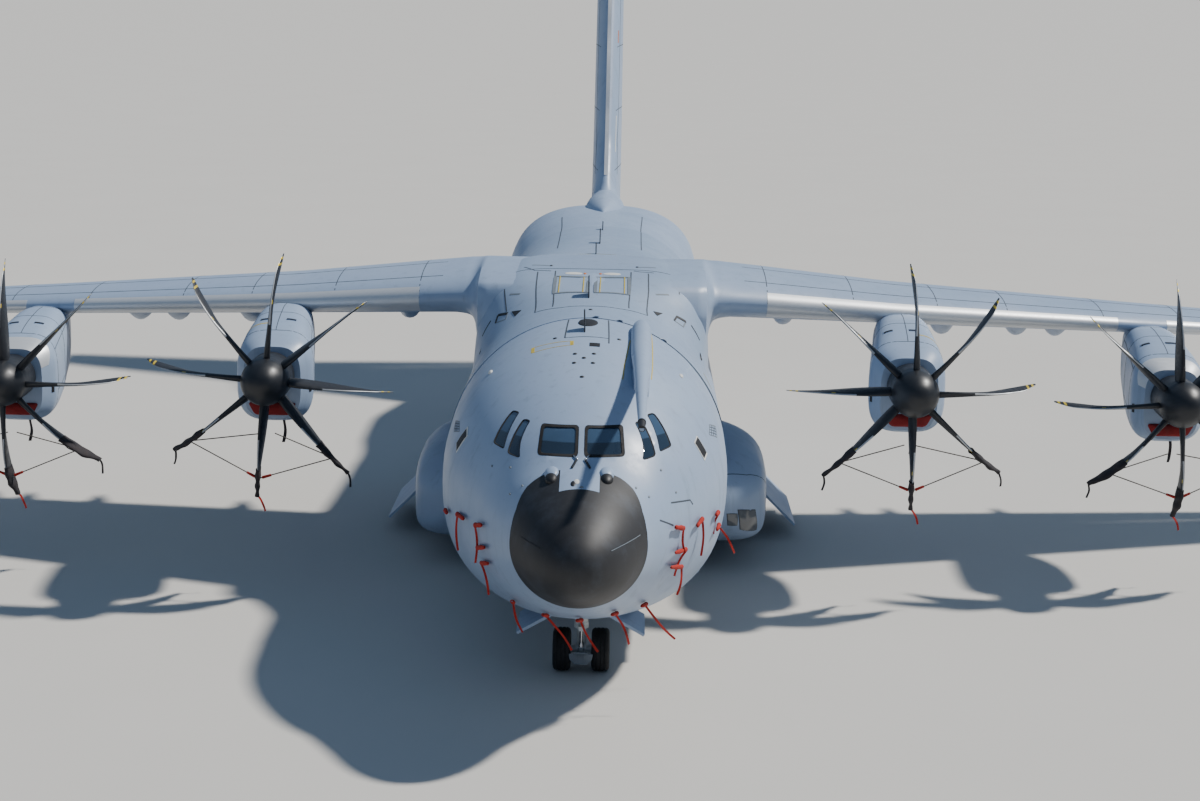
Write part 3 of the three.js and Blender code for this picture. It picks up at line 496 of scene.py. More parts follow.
finishes = {key: newMaterial(name, kind, **settings) for key, name, kind, settings in (
    ("paint", "blue-grey paint", paint, {"colour": (0.306, 0.398, 0.545)}),
    ("fairing", "fairing paint", paint, {"colour": (0.272, 0.362, 0.500), "fade": 0.10}),
    ("radome", "radome coating", paint, {"colour": (0.013, 0.013, 0.015), "fade": 0.012, "streaks": 0.05,
                                         "bump": 0.02, "roughness": 0.57}),
    ("blade", "blade black", bladePaint, {}),
    ("glass", "cockpit glass", glass, {"colour": (0.060, 0.115, 0.200), "roughness": 0.04}),
    # lamp glass lies wholly below the height where the glass's painted shade begins, so all of it is painted in the
    # darker shade
    ("lamp", "lamp glass", glass, {"colour": (0.55, 0.58, 0.60), "roughness": 0.08}),
    ("redCover", "red cover cloth", cloth, {"colour": (0.46, 0.020, 0.010)}),
    ("intakeCover", "intake cover cloth", cloth, {"colour": (0.25, 0.012, 0.014)}),
    ("darkCover", "dark boot cloth", cloth, {"colour": (0.022, 0.020, 0.024)}),
)}
# Name, colour, roughness, metallic, grain, scale of the grain.
plainRows = {
    "floor": ("floor plates", (0.14, 0.15, 0.16), 0.6, 0.3, 0.25, 18),
    "engine": ("engine metal", (0.30, 0.29, 0.28), 0.5, 0.8, 0.3, 14),
    "gear": ("gear paint", (0.62, 0.65, 0.66), 0.38, 0.1, 0.14, 16),
    "steel": ("polished steel", (0.55, 0.56, 0.58), 0.22, 0.95, 0.08, 30),
    "rubber": ("tyre rubber", (0.013, 0.013, 0.014), 0.82, 0.0, 0.35, 40),
    "black": ("black fittings", (0.010, 0.010, 0.012), 0.55, 0.0, 0.3, 30),
    "spinner": ("spinner black", (0.014, 0.016, 0.020), 0.42, 0.1, 0.08, 12),
    "seam": ("seam shadow", (0.055, 0.068, 0.085), 0.7, 0.0, 0.3, 12),
    "yellow": ("yellow marking", (0.55, 0.42, 0.06), 0.55, 0.0, 0.2, 20),
    "white": ("white marking", (0.70, 0.70, 0.66), 0.5, 0.0, 0.12, 20),
    "orange": ("orange marking", (0.60, 0.16, 0.03), 0.5, 0.0, 0.15, 20),
    "trim": ("grey trim", (0.17, 0.20, 0.23), 0.5, 0.0, 0.2, 16),
    "sealing": ("window sealing", (0.008, 0.007, 0.008), 0.8, 0.0, 0.3, 30),
    "rope": ("tether rope", (0.10, 0.09, 0.08), 0.85, 0.0, 0.4, 90),
    "bareMetal": ("bare leading edge", (0.66, 0.68, 0.70), 0.42, 0.35, 0.08, 9, (1, 8, 8)),
}
for key, (name, *values) in plainRows.items():
    labels = ("colour", "roughness", "metallic", "grain", "scale", "stretch")
    finishes[key] = newMaterial(name, plain, **dict(zip(labels, values)))

# --- camera, floor and light

cameraPlace = {"x": 0.7923, "s": -35.6619, "z": 13.0357, "yaw": -0.0123, "pitch": 0.1852, "roll": 0.0163,
               "lens": 66.0, "near": 0.5, "far": 12000}
studio = {"sunToward": (0.606, 0.222, 0.764), "sunPower": 5.0, "sunSpread": 3.0, "sunColour": (1.0, 0.965, 0.91),
          "skyPower": 0.31, "skyColour": (0.42, 0.64, 1.0), "fillPower": 60.0, "fillSize": 18,
          "fillColour": (0.90, 0.95, 1.0), "fillFrom": (-16, -34, 14), "fillTo": (0, -4, 2),
          "floorColour": (0.60, 0.58, 0.54), "floorSize": 16000}


def makeCamera(c):
    ahead = Vector((math.sin(c["yaw"]) * math.cos(c["pitch"]), math.cos(c["yaw"]) * math.cos(c["pitch"]),
                    -math.sin(c["pitch"])))
    right = Vector((math.cos(c["yaw"]), -math.sin(c["yaw"]), 0))
    up = right.cross(ahead)
    tiltedRight = right * math.cos(c["roll"]) + up * math.sin(c["roll"])
    tiltedUp = up * math.cos(c["roll"]) - right * math.sin(c["roll"])
    camera = bpy.data.objects.new("camera", bpy.data.cameras.new("camera"))
    bpy.context.scene.collection.objects.link(camera)
    turn = Matrix((tiltedRight, tiltedUp, -ahead)).transposed().to_4x4()
    camera.matrix_world = Matrix.Translation(place(c["x"], c["s"], c["z"])) @ turn
    camera.data.lens, camera.data.sensor_width = c["lens"], 36
    camera.data.clip_start, camera.data.clip_end = c["near"], c["far"]
    bpy.context.scene.camera = camera


def addLight(name, kind, power, colour, toward):
    light = bpy.data.objects.new(name, bpy.data.lights.new(name, kind))
    light.data.energy, light.data.color = power, colour
    light.rotation_euler = toward.to_track_quat("-Z", "Y").to_euler()
    bpy.context.scene.collection.objects.link(light)
    return light


def makeStudio(c):
    def floorPaint(tree):
        tone = noiseNode(tree, coordinates(tree), 0.35, 4, 0.6)
        return {"Base Color": mixColour(tree, tone, *shades(c["floorColour"], 0.94, 1.0)), "Roughness": 0.85}
    makeActive()
    bpy.ops.mesh.primitive_plane_add(size=c["floorSize"], location=(0, 0, 0))
    floor = bpy.context.object
    floor.name = "studio_floor"
    floor.data.materials.append(newMaterial("studio floor", floorPaint))
    sun = addLight("key light", "SUN", c["sunPower"], c["sunColour"], -Vector(c["sunToward"]))
    sun.data.angle = math.radians(c["sunSpread"])
    toward = Vector(c["fillTo"]) - Vector(c["fillFrom"])
    fillLight = addLight("fill light", "AREA", c["fillPower"], c["fillColour"], toward)
    fillLight.data.size, fillLight.location = c["fillSize"], c["fillFrom"]
    world = bpy.data.worlds.new("sky")
    world.use_nodes = True
    back = world.node_tree.nodes["Background"]
    back.inputs[0].default_value, back.inputs[1].default_value = (*c["skyColour"], 1), c["skyPower"]
    bpy.context.scene.world = world


makeCamera(cameraPlace)
makeStudio(studio)
print("camera and studio made")

# --- fuselage

fuselage = {
    "noseEnd": 8.2, "centreEnd": 26.6, "bodyEnd": 41.4, "seam": 0.0008,
    "door": (6.45, 7.35, 1.68, 3.62), "doorSill": 0.04, "swing": 0.012,
    "bay": (0.52, 4.35, 6.35),
    "frontPane": [(0.05, 4.86), (0.79, 4.84), (0.74, 5.30), (0.05, 5.32)],
    "sidePanes": [[(2.81, 4.75), (3.09, 4.78), (3.66, 5.31), (3.52, 5.31)],
                  [(3.24, 4.82), (3.64, 4.85), (4.11, 5.38), (3.92, 5.38)]],
    # station, half width of the tail opening, of the ramp and of the door behind it
    "opening": [(27.32, 1.915), (33.0, 1.575), (37.3, 1.1)], "ramp": [(27.4, 1.87), (34.5, 1.455)],
    "tailDoor": [(30, 1.74), (33.0, 1.56), (37.3, 1.1)], "rampFront": 27.44, "tailDoorEnd": 37.276,
}


def rounded(outline, radius, steps=5):
    path = []
    for i, corner in enumerate(outline):
        corner = Vector(corner)
        before = Vector(outline[i - 1]) - corner
        after = Vector(outline[(i + 1) % len(outline)]) - corner
        reach = min(radius, before.length * 0.45, after.length * 0.45)
        first, last = corner + before.normalized() * reach, corner + after.normalized() * reach
        for k in range(steps + 1):
            t = k / steps
            path.append(tuple(first * (1 - t) ** 2 + corner * 2 * t * (1 - t) + last * t ** 2))
    return path


def grown(outline, distance):
    middle = sum((Vector(p) for p in outline), Vector((0, 0))) / len(outline)
    return [tuple(Vector(p) + (Vector(p) - middle).normalized() * distance) for p in outline]


def makeFuselage(c):
    swing, seam = c["swing"], c["seam"]
    radome = cut(fuselageLoft("radome_shell", 0.0, 2.3, rings=46), radomeSpace(0), "INTERSECT")
    dress(radome, "radome", "airframe", "radome", "radome", 50)
    nose = cut(fuselageLoft("nose_skin", 1.3, c["noseEnd"], rings=46), radomeSpace(seam))
    hollow = cut(fuselageLoft("hollow", 1.7, 40.2, -skinDepth, rings=120), radomeSpace(skinDepth))
    cut(nose, hollow, keep=True)
    for pane in [prism(rounded(c["frontPane"], 0.07), "s", 2.0, 4.2)] + [
            prism(rounded(outline, 0.07), "x", 0.84, 2.2) for outline in c["sidePanes"]]:
        for half in (pane, mirroredCopy(pane)):
            cut(nose, half)
    s0, s1, z0, z1 = c["door"]
    cut(nose, boxPiece(1.6, 3.2, s0, s1, z0, z1))
    half, b0, b1 = c["bay"]
    cut(nose, boxPiece(-half, half, b0, b1, 0, 2.2))
    dress(nose, "paint", standsFor="nose_fuselage")

    door = cut(fuselageLoft("crew_door_panel", s0 - 0.3, s1 + 0.3, rings=12), hollow, keep=True)
    cut(door, boxPiece(1.6, 3.2, s0 + swing, s1 - swing, z0 + c["doorSill"], z1 - swing), "INTERSECT")
    tube = rodPiece((2.245, s0 + swing, 1.765), (2.245, s1 - swing, 1.765), 0.045)
    dressJoined("crew_door_panel", [door, tube], "paint", "crew_door_body", "paint", "crew_door")

    centre = fuselageLoft("centre_skin", c["noseEnd"] + seam, c["centreEnd"] + seam, rings=16)
    dress(cut(centre, hollow, keep=True), "paint", standsFor="centre_fuselage")

    rear = fuselageLoft("rear_skin", c["centreEnd"] + seam, c["bodyEnd"], rings=56)
    ramp = copyOf(rear)
    cut(rear, hollow, keep=True)
    tailDoor = copyOf(rear)

    def openingPlan(rows, inset):
        port = [(halfWidth - inset, s) for s, halfWidth in rows]
        return prism(port + [(-x, s) for x, s in reversed(port)], "z", 0, 5.35)

    def slantAt(z):  # where the ramp ends and the tail door begins
        return 33.0 - 0.6 * (z - 1.7)
    cut(rear, openingPlan(c["opening"], 0))
    dress(rear, "paint", standsFor="rear_fuselage")
    cut(ramp, openingPlan(c["ramp"], swing), "INTERSECT")
    front = c["rampFront"]
    cut(ramp, prism([(front, 0.5), (front, 1.62), (slantAt(2.90), 2.90), (slantAt(0.5), 0.5)], "x", -2.5, 2.5),
        "INTERSECT")
    for x in (-0.9, 0.9):
        cut(ramp, boxPiece(x - 0.1, x + 0.1, 27.2, 27.57, 0.97, 1.22))
    ramp.name = "ramp_panel"
    dress(ramp, "paint", "cargo_ramp_body", "paint", "cargo_ramp")
    cut(tailDoor, openingPlan(c["tailDoor"], swing), "INTERSECT")
    end = c["tailDoorEnd"]
    profile = [(slantAt(0.5) + swing, 0.5), (slantAt(5.4) + swing, 5.4), (end, 5.4), (end, 0.5)]
    cut(tailDoor, prism(profile, "x", -2.5, 2.5), "INTERSECT")
    arm = [(36.8, 4.3), (37.05, 4.95), (37.25, 4.95), (37.25, 4.38)]
    arms = [prism(arm, "x", x - 0.04, x + 0.04) for x in (-1.0, 1.0)]
    dressJoined("tail_door_panel", [tailDoor, *arms], "paint", "tail_door_body", "paint", "tail_door")
    fittings = [rodPiece((side * 1.045, 37.15, 4.85), (side * 1.46, 37.15, 4.85), 0.04) for side in (-1, 1)]
    for x in (-0.9, 0.9):
        fittings += [boxPiece(x - 0.04, x + 0.04, 27.2, 27.51, 1.03, 1.13),
                     rodPiece((x - 0.1, 27.47, 1.08), (x + 0.1, 27.47, 1.08), 0.022)]
    dressJoined("rear_hinge_fittings", fittings, "steel", "airframe", None)
    bpy.data.objects.remove(hollow)


makeFuselage(fuselage)
print("fuselage skins made")

# --- fairing over the wing

# Station, crown, half width, squareness.
fairingRows = slopesOf([
    (8.22, 6.51, 2.84, 2.0), (10.1, 6.63, 2.74, 2.1), (10.8, 6.69, 2.66, 2.5), (11.4, 6.77, 2.58, 3.4),
    (12.0, 6.86, 2.58, 4.5), (12.8, 6.96, 2.60, 4.8), (14.3, 7.02, 2.61, 4.5), (16.0, 6.86, 2.62, 3.8),
    (18.0, 6.64, 2.66, 3.1), (20.5, 6.56, 2.74, 2.6), (23.0, 6.53, 2.80, 2.4), (25.6, 6.51, 2.83, 2.3),
])


def makeFairing(rows):
    start, end = rows[0][0, 0], rows[0][-1, 0]
    middle = 3.66

    def pointAt(u, v):
        s, around = start + (end - start) * v, math.pi * (u - 0.5)
        crown, halfWidth, squareness = smoothRow(rows, s)
        bend = 2 / squareness
        return place(halfWidth * power(math.sin(around), bend), s,
                     middle + (crown - middle) * max(math.cos(around), 0.0) ** bend)
    hood = closedPiece("wing_hood", 72, 60, pointAt)
    cut(hood, boxPiece(-4, 4, 8, 26, 4.3, 8), "INTERSECT")
    cut(hood, fuselageLoft("inner", 8.0, 26.4, -0.03, rings=16))
    dress(hood, "fairing", "airframe", "fairing", "wing_fairing")


makeFairing(fairingRows)
print("wing fairing made")

# --- wings

wingParts = {
    "aileron": (15.9, 20.3, 0.75), "swing": 0.012, "tip": 21.2,
    # distance out, radius, drop below the wing
    "tracks": [(4.6, 0.28, 0.50), (8.6, 0.26, 0.46), (10.5, 0.24, 0.38), (11.5, 0.22, 0.36), (14.2, 0.20, 0.32)],
    # share of the chord, size, drop
    "trackShape": slopesOf([(0.42, 0.15, 0.0), (0.56, 0.8, 0.5), (0.75, 1.0, 1.0), (0.95, 0.8, 0.9),
                            (1.12, 0.12, 0.55)]),
    "bareEdges": [(3.9, 12.35), (13.6, 20.6)], "edgeReach": (0.16, 0.24),
}


def hingeOf(rows, camber, inner, outer, share):
    ends = []
    for x in (inner, outer):
        edgeS, edgeZ, chord, thickness = straightRow(rows, x)
        ends.append(Vector((x, edgeS + share * chord, edgeZ - camber * share * chord + 0.06 * thickness)))
    return ends


def hingeParts(start, end, swing, radius, endRadius, pin):  # the moving tube, and the two fixed pins in it
    def toward(first, last, distance):
        return first + (last - first).normalized() * distance
    ends = ((start, end), (end, start))
    tube = rodPiece(*(toward(a, b, swing) for a, b in ends), radius, endRadius)
    return tube, [rodPiece(toward(a, b, -0.08), toward(a, b, swing * 0.9), pin) for a, b in ends]


def splitSurface(skin, start, end, swing, low, high):  # the control surface comes out of its bay
    surface = copyOf(skin)
    cut(skin, prism(surfacePlan(start.xy, end.xy, 2.5, 0.1, 0), "z", low, high))
    return cut(surface, prism(surfacePlan(start.xy, end.xy, 2.5, 0, swing * 1.4), "z", low, high), "INTERSECT")


def makeWings(c):
    start, end = hingeOf(wingRows, wingCamber, *c["aileron"])
    tip = c["tip"]
    stops = [0.0, 1.5, 2.0] + [2.05 + 0.05 * k for k in range(24)] + [3.3 + (tip - 3.3) * k / 48 for k in range(49)]
    wing = surfaceLoft("wing_skin_port", wingPoint, stops)
    aileron = splitSurface(wing, start, end, c["swing"], 3, 8)
    tube, pins = hingeParts(start, end, c["swing"], 0.075, 0.05, 0.025)
    extras = []
    for x, radius, drop in c["tracks"]:
        edgeS, edgeZ, chord, thickness = straightRow(wingRows, x)
        middle = edgeZ - 0.02 * chord - 0.12

        def trackAt(u, v):
            share = 0.42 + 0.70 * v
            size, down = smoothRow(c["trackShape"], share)
            return ringPoint(x, edgeS + share * chord, middle - drop * down, radius * size, radius * size * 1.3, u)
        extras.append(closedPiece("track", 20, 18, trackAt))
    edgeS, edgeZ, chord, thickness = straightRow(wingRows, 17.2)
    extras.append(softenEdges(boxPiece(17.05, 17.35, edgeS + 0.7, edgeS + 1.5, edgeZ - 0.28, edgeZ), 0.004))
    dressPair(joinPieces("wing_skin_port", [wing, *extras, *pins]), "paint", standsFor="wing_port")
    dressPair(joinPieces("aileron_skin_port", [aileron, tube]), "paint", "aileron_port_body", "paint", "aileron_port")
    edges = []
    for x0, x1 in c["bareEdges"]:
        def edgeAt(u, v):
            reach = c["edgeReach"][0 if u < 0.5 else 1]
            return wingPoint(x0 + (x1 - x0) * v, *airfoil(0.5 + (u - 0.5) * reach), grow=0.004)
        edges.append(shellPiece("edge", 16, 40, edgeAt, 0.003))
    dressPair(joinPieces("wing_edge_port", edges), "bareMetal")


makeWings(wingParts)
print("wings made")

# --- nacelles, engines and propellers

# Distance aft of the propeller, top, bottom and half width about the shaft.
nacelleRows = slopesOf([
    (0.36, 0.60, -0.98, 0.62), (0.80, 0.78, -1.10, 0.83), (1.40, 0.94, -1.13, 0.80), (2.20, 1.05, -1.06, 0.74),
    (3.30, 1.12, -0.66, 0.64), (4.20, 1.08, -0.08, 0.45), (5.00, 0.98, 0.36, 0.19), (5.70, 0.86, 0.60, 0.10),
])
intakeMouth = [(-0.53, -0.62), (-0.38, -0.90), (0.38, -0.90), (0.53, -0.62)]
engines = {
    "outer_port": {"at": (12.98, 12.5, 4.27), "phase": -2.9, "hand": 1},
    "inner_port": {"at": (6.88, 10.7, 4.73), "phase": -2.2, "hand": -1},
    "inner_starboard": {"at": (-6.88, 10.7, 4.73), "phase": 6.4, "hand": 1},
    "outer_starboard": {"at": (-12.98, 12.5, 4.27), "phase": -1.0, "hand": -1},
}
# Blade: distance from the shaft, chord, thickness, turn, sweep.
bladeRows = slopesOf([
    (0.30, 0.30, 0.19, -20, -0.46), (0.80, 0.44, 0.14, -15, -0.50), (1.50, 0.52, 0.095, -5, -0.46),
    (2.30, 0.39, 0.050, 6, -0.18), (2.665, 0.09, 0.020, 11, 0.14),
])
spinnerShape = slopesOf([
    (0.0, 0.0, -1.24), (0.10, 0.18, -1.20), (0.24, 0.34, -1.07), (0.42, 0.46, -0.86), (0.60, 0.51, -0.62),
    (0.85, 0.51, -0.20), (1.0, 0.505, 0.02),
])


def nacellePoint(hub, aft, around, grow=0.0):
    x, s, z = hub
    top, bottom, halfWidth = smoothRow(nacelleRows, aft)
    bend = 2 / 3.3
    outboard = math.copysign(0.13, x) * min(1.0, max(0.0, aft - 0.8) / 2.2)
    return place(x + outboard + (halfWidth + grow) * power(math.sin(around), bend), s + aft,
                 z + (top + bottom) / 2 + ((top - bottom) / 2 + grow) * power(math.cos(around), bend))


def makeNacelle(name, hub):
    x, s, z = hub
    shell = closedPiece(f"nacelle_skin_{name}", 48, 56, lambda u, v: nacellePoint(hub, 0.36 + 5.34 * v, fullTurn * u))
    cut(shell, closedPiece("inner", 32, 16, lambda u, v: nacellePoint(hub, 0.80 + 2.50 * v, fullTurn * u, -0.07)))
    cut(shell, prism(rounded([(x + a, z + b) for a, b in intakeMouth], 0.09), "s", s + 0.2, s + 0.9))
    cut(shell, rodPiece((x, s + 0.2, z), (x, s + 0.9, z), 0.24, sides=32))
    cut(shell, rodPiece((x, s + 3.2, z - 0.2), (x, s + 6.5, z - 0.2), 0.2, sides=32))
    dress(shell, "paint", standsFor=f"nacelle_{name}")


def bladePoint(hub, around, hand, r, share, lift, grow=0.0):
    x, s, z = hub
    chord, thickness, turn, sweep = smoothRow(bladeRows, r)
    pitch = math.radians(turn * hand)
    along, across = (share - 0.5) * (chord + 2 * grow), lift * 0.85 * (thickness + 2 * grow)
    aft = along * math.cos(pitch) - across * math.sin(pitch)
    side = along * math.sin(pitch) + across * math.cos(pitch) + sweep * hand * 0.1
    return (x + r * math.sin(around) + side * math.cos(around), s + 0.02 + aft + sweep,
            z + r * math.cos(around) - side * math.sin(around))


def makePropeller(name, hub, phase, hand):
    x, s, z = hub
    body = f"propeller_{name}_body"

    def spinnerAt(u, v):
        radius, aft = smoothRow(spinnerShape, v)
        return ringPoint(x, s + aft, z, radius, radius, u)
    spinner = [tidyFaces(gridPiece("spinner", 48, 24, spinnerAt), fill=False),
               rodPiece((x, s + 0.02, z), (x, s + 0.30, z), 0.505, 0.50, 48),
               rodPiece((x, s + 0.29, z), (x, s + 0.899, z), 0.15, sides=24)]
    dressJoined(f"spinner_{name}", spinner, "spinner", body, "blade", f"propeller_{name}")
    blades = []
    for k in range(8):
        around = math.radians(phase + 45 * k)

        def bladeAt(u, v):
            return place(*bladePoint(hub, around, hand, 0.30 + 2.365 * v, *airfoil(u)))
        blades.append(closedPiece("blade", 24, 30, bladeAt))
    dressJoined(f"blades_{name}", blades, "blade", body, "blade")


for engineName, engine in engines.items():
    makeNacelle(engineName, engine["at"])
    makePropeller(engineName, engine["at"], engine["phase"], engine["hand"])
print("nacelles and propellers made")

# --- sponsons

# Station, bottom, top, outer edge.
sponsonRows = slopesOf([
    (12.5, 1.35, 2.00, 2.85), (12.9, 0.86, 2.38, 3.62), (13.5, 0.61, 2.66, 4.00), (14.6, 0.57, 2.97, 4.09),
    (16.0, 0.57, 3.02, 4.11), (18.0, 0.57, 2.66, 4.11), (21.2, 0.60, 1.92, 3.97), (24.5, 0.75, 1.62, 3.25),
    (26.2, 1.10, 1.60, 2.75), (27.3, 1.35, 1.55, 2.40),
])
sponsonShape = {"topPower": 2.4, "bottomPower": 6.0, "start": 12.5, "end": 27.3, "root": 1.6,
                "bay": (2.45, 3.75, 16.6, 21.4, 0, 1.45)}


def makeSponsons(c):
    def pointAt(u, v):
        s = c["start"] + (c["end"] - c["start"]) * v
        bottom, top, edge = smoothRow(sponsonRows, s)
        sine, cosine = math.sin(fullTurn * u), math.cos(fullTurn * u)
        bend = 2 / c["topPower" if cosine > 0 else "bottomPower"]
        return place(c["root"] + (edge - c["root"]) * power(sine, bend), s,
                     (top + bottom) / 2 + (top - bottom) / 2 * power(cosine, bend))
    sponson = closedPiece("sponson_skin_port", 64, 70, pointAt)
    cut(sponson, boxPiece(*c["bay"]))
    cut(sponson, boxPiece(-5, 1.2, 10, 30, 0, 5))
    cut(sponson, fuselageLoft("inner", 11.0, 30.0, -0.03, rings=24))
    dressPair(sponson, "paint", standsFor="sponson_port")


makeSponsons(sponsonShape)
print("sponsons made")

# --- tail

tailParts = {
    "rudder": (7.15, 13.3, 0.72), "elevator": (0.8, 7.2, 0.68), "swing": 0.012, "tip": 7.9,
    # station, height of the middle, half width, half height
    "foot": slopesOf([(29.4, 6.30, 0.06, 0.22), (30.2, 6.20, 0.42, 0.52), (31.4, 6.10, 0.66, 0.76),
                      (34.0, 5.90, 0.66, 0.86), (38.0, 5.50, 0.46, 0.72), (41.2, 5.25, 0.20, 0.50)]),
    "bullet": slopesOf([(38.4, 0.05), (39.3, 0.34), (41.0, 0.50), (43.4, 0.38), (44.9, 0.10)]),
    "bulletHeight": 14.216, "finTop": 13.7508,
}


def makeTail(c):
    swing = c["swing"]
    bottom, top, share = c["rudder"]
    hinge = []
    for z in (bottom, top):
        edgeS, chord, thickness = straightRow(finRows, z)
        hinge.append(Vector((0, edgeS + share * chord, z)))

    def finAt(u, v):
        z = 5.30 + 8.45 * v
        part, side = airfoil(u, finSide, finSide)
        edgeS, chord, thickness = straightRow(finRows, z)
        return place((side if u < 0.5 else -side) * thickness, edgeS + part * chord, z)

    def rudderPlan(ahead, inset):
        flat = [(end.z, end.y) for end in hinge]
        return prism([(s, z) for z, s in surfacePlan(*flat, 4, ahead, inset)], "x", -1, 1)

    def footAt(u, v):
        s = 29.4 + 11.8 * v
        middle, halfWidth, halfHeight = smoothRow(c["foot"], s)
        return ringPoint(0, s, middle, halfWidth, halfHeight, u)

    def bulletAt(u, v):
        s = 38.4 + 6.5 * v
        radius = smoothRow(c["bullet"], s)[0]
        return ringPoint(0, s, c["bulletHeight"], radius, 1.1 * radius, u)
    fin = closedPiece("fin_skin", 56, 40, finAt)
    rudder = cut(copyOf(fin), rudderPlan(0, swing), "INTERSECT")
    cut(fin, closedPiece("foot", 40, 40, footAt), "UNION")
    cut(fin, rudderPlan(0.18, 0))
    cut(fin, fuselageLoft("inner", 27.0, 41.3, -0.03, rings=40))
    tube, pins = hingeParts(*hinge, swing, 0.13, 0.10, 0.03)
    dressJoined("fin_skin", [fin, *pins], "paint", "airframe", "paint", "fin")
    dressJoined("rudder_skin", [rudder, tube], "paint", "rudder_body", "paint", "rudder")

    start, end = hingeOf(tailRows, 0, *c["elevator"])
    half = surfaceLoft("tailplane_skin", tailPoint, [c["tip"] * k / 30 for k in range(31)], 56)
    elevator = splitSurface(half, start, end, swing, 13, 15)
    bullet = closedPiece("bullet", 40, 40, bulletAt)
    cut(elevator, bullet, keep=True)
    cut(bullet, boxPiece(-1, 1, 38, 45, 13, c["finTop"]))
    tube, pins = hingeParts(start, end, swing, 0.075, 0.04, 0.02)
    half = joinPieces("tailplane_skin", [half, *pins])
    tailplane = [half, mirroredCopy(half), bullet]
    dressJoined("tailplane_skin", tailplane, "paint", "airframe", "paint", "tailplane")
    elevator = joinPieces("elevator_skin_port", [elevator, tube])
    dressPair(elevator, "paint", "elevator_port_body", "paint", "elevator_port")


makeTail(tailParts)
print("tail made")

# --- shapes that lie on the skins

def skinTree(*names):
    corners, faces = [], []
    for name in names:
        mesh = bpy.data.objects[name].data
        first = len(corners)
        corners += [corner.co.copy() for corner in mesh.vertices]
        faces += [[first + i for i in face.vertices] for face in mesh.polygons]
    return BVHTree.FromPolygons(corners, faces)


def onSkin(tree, point):
    return tree.find_nearest(place(*point))[:2]


def strip(tree, points, width, closed=False, spacing=0.14, height=0.004):
    path = [Vector(p) for p in points] + ([Vector(points[0])] if closed else [])
    samples = []
    for start, end in zip(path, path[1:]):
        count = max(1, round((end - start).length / spacing))
        samples += [start.lerp(end, k / count) for k in range(count)]
    if not closed:
        samples.append(path[-1])
    spots = [onSkin(tree, p) for p in samples]
    count = len(spots)
    rows = count if closed else count - 1
    section = [(-0.5, -0.5), (0.5, -0.5), (0.5, 1.0), (-0.5, 1.0), (-0.5, -0.5)]

    def pointAt(u, v):
        k = round(v * rows)
        spot, normal = spots[k % count]
        after, before = (k + 1, k - 1) if closed else (min(k + 1, count - 1), max(k - 1, 0))
        along = spots[after % count][0] - spots[before % count][0]
        side, up = section[round(u * 4)]
        return spot + (along.cross(normal).normalized() * side * width + normal * up * height) * modelScale
    return closedPiece("strip", 4, rows, pointAt)


def patch(tree, corners, height=0.006, across=6, along=6):
    a, b, c, d = (Vector(p) for p in corners)

    def pointAt(u, v):
        spot, normal = onSkin(tree, a.lerp(b, u).lerp(d.lerp(c, u), v))
        return spot + normal * height * modelScale
    return shellPiece("patch", across, along, pointAt, 0.004)


def frameAt(tree, point):
    spot, normal = onSkin(tree, point)
    aft = (Vector((0, 1, 0)) - normal * normal.y).normalized()
    return spot, normal, aft, normal.cross(aft)


def dome(tree, point, acrossRadius, alongRadius, height):
    spot, normal, aft, side = frameAt(tree, point)

    def pointAt(u, v):
        around, out = fullTurn * u, math.sin(v * math.pi / 2)
        rise = height * math.cos(v * math.pi / 2) if v < 0.999 else -0.01
        return spot + (side * acrossRadius * out * math.cos(around) + aft * alongRadius * out * math.sin(around)
                       + normal * rise) * modelScale
    return closedPiece("dome", 20, 6, pointAt)


def finAntenna(tree, point, chord, height):
    spot, normal, aft, side = frameAt(tree, point)

    def pointAt(u, v):
        share, lift = airfoil(u)
        along = (share - 0.5) * chord * (1 - 0.45 * v) + 0.12 * v
        return spot + (aft * along + side * lift * 0.03 + normal * (height * v - 0.02)) * modelScale
    return closedPiece("antenna", 20, 4, pointAt)


# --- cockpit windows

windows = {
    "panes": {  # outline, the axis it is seen along and the span of it, width of the frame
        "windscreen": (fuselage["frontPane"], "s", 2.0, 4.2, 0.045),
        "side_window_front": (fuselage["sidePanes"][0], "x", 0.841, 2.2, 0.010),
        "side_window_rear": (fuselage["sidePanes"][1], "x", 0.841, 2.2, 0.010),
    },
    "radius": 0.07, "glass": (-0.014, -0.055), "frame": (0.004, -0.075),
}


def makeWindows(c):
    def layer(top, bottom):
        return cut(fuselageLoft("layer", 2.3, 6.5, top), fuselageLoft("inner", 2.2, 6.6, bottom))
    glassLayer, frameLayer = layer(*c["glass"]), layer(*c["frame"])
    for name, (outline, axis, low, high, border) in c["panes"].items():
        whole = rounded(grown(outline, -0.002), c["radius"])
        clear = rounded(grown(outline, -border * 1.5), c["radius"] * 0.8)
        pane = cut(copyOf(glassLayer), prism(clear, axis, low, high), "INTERSECT")
        rim = cut(copyOf(frameLayer), prism(whole, axis, low, high), "INTERSECT")
        cut(rim, prism(clear, axis, low - 1, high + 1))
        pane.name, rim.name = f"{name}_pane_port", f"{name}_frame_port"
        dressPair(pane, "glass", "airframe", "glass", f"{name}_port")
        dressPair(rim, "sealing", "airframe", "glass")
    for piece in (glassLayer, frameLayer):
        bpy.data.objects.remove(piece)


makeWindows(windows)

cockpit = {"coaming": [(2.95, 4.70), (3.10, 4.86), (3.75, 4.90), (3.95, 4.55), (3.90, 4.40), (3.05, 4.50)],
           "seats": [(0.62, 4.35), (-0.62, 4.35)]}


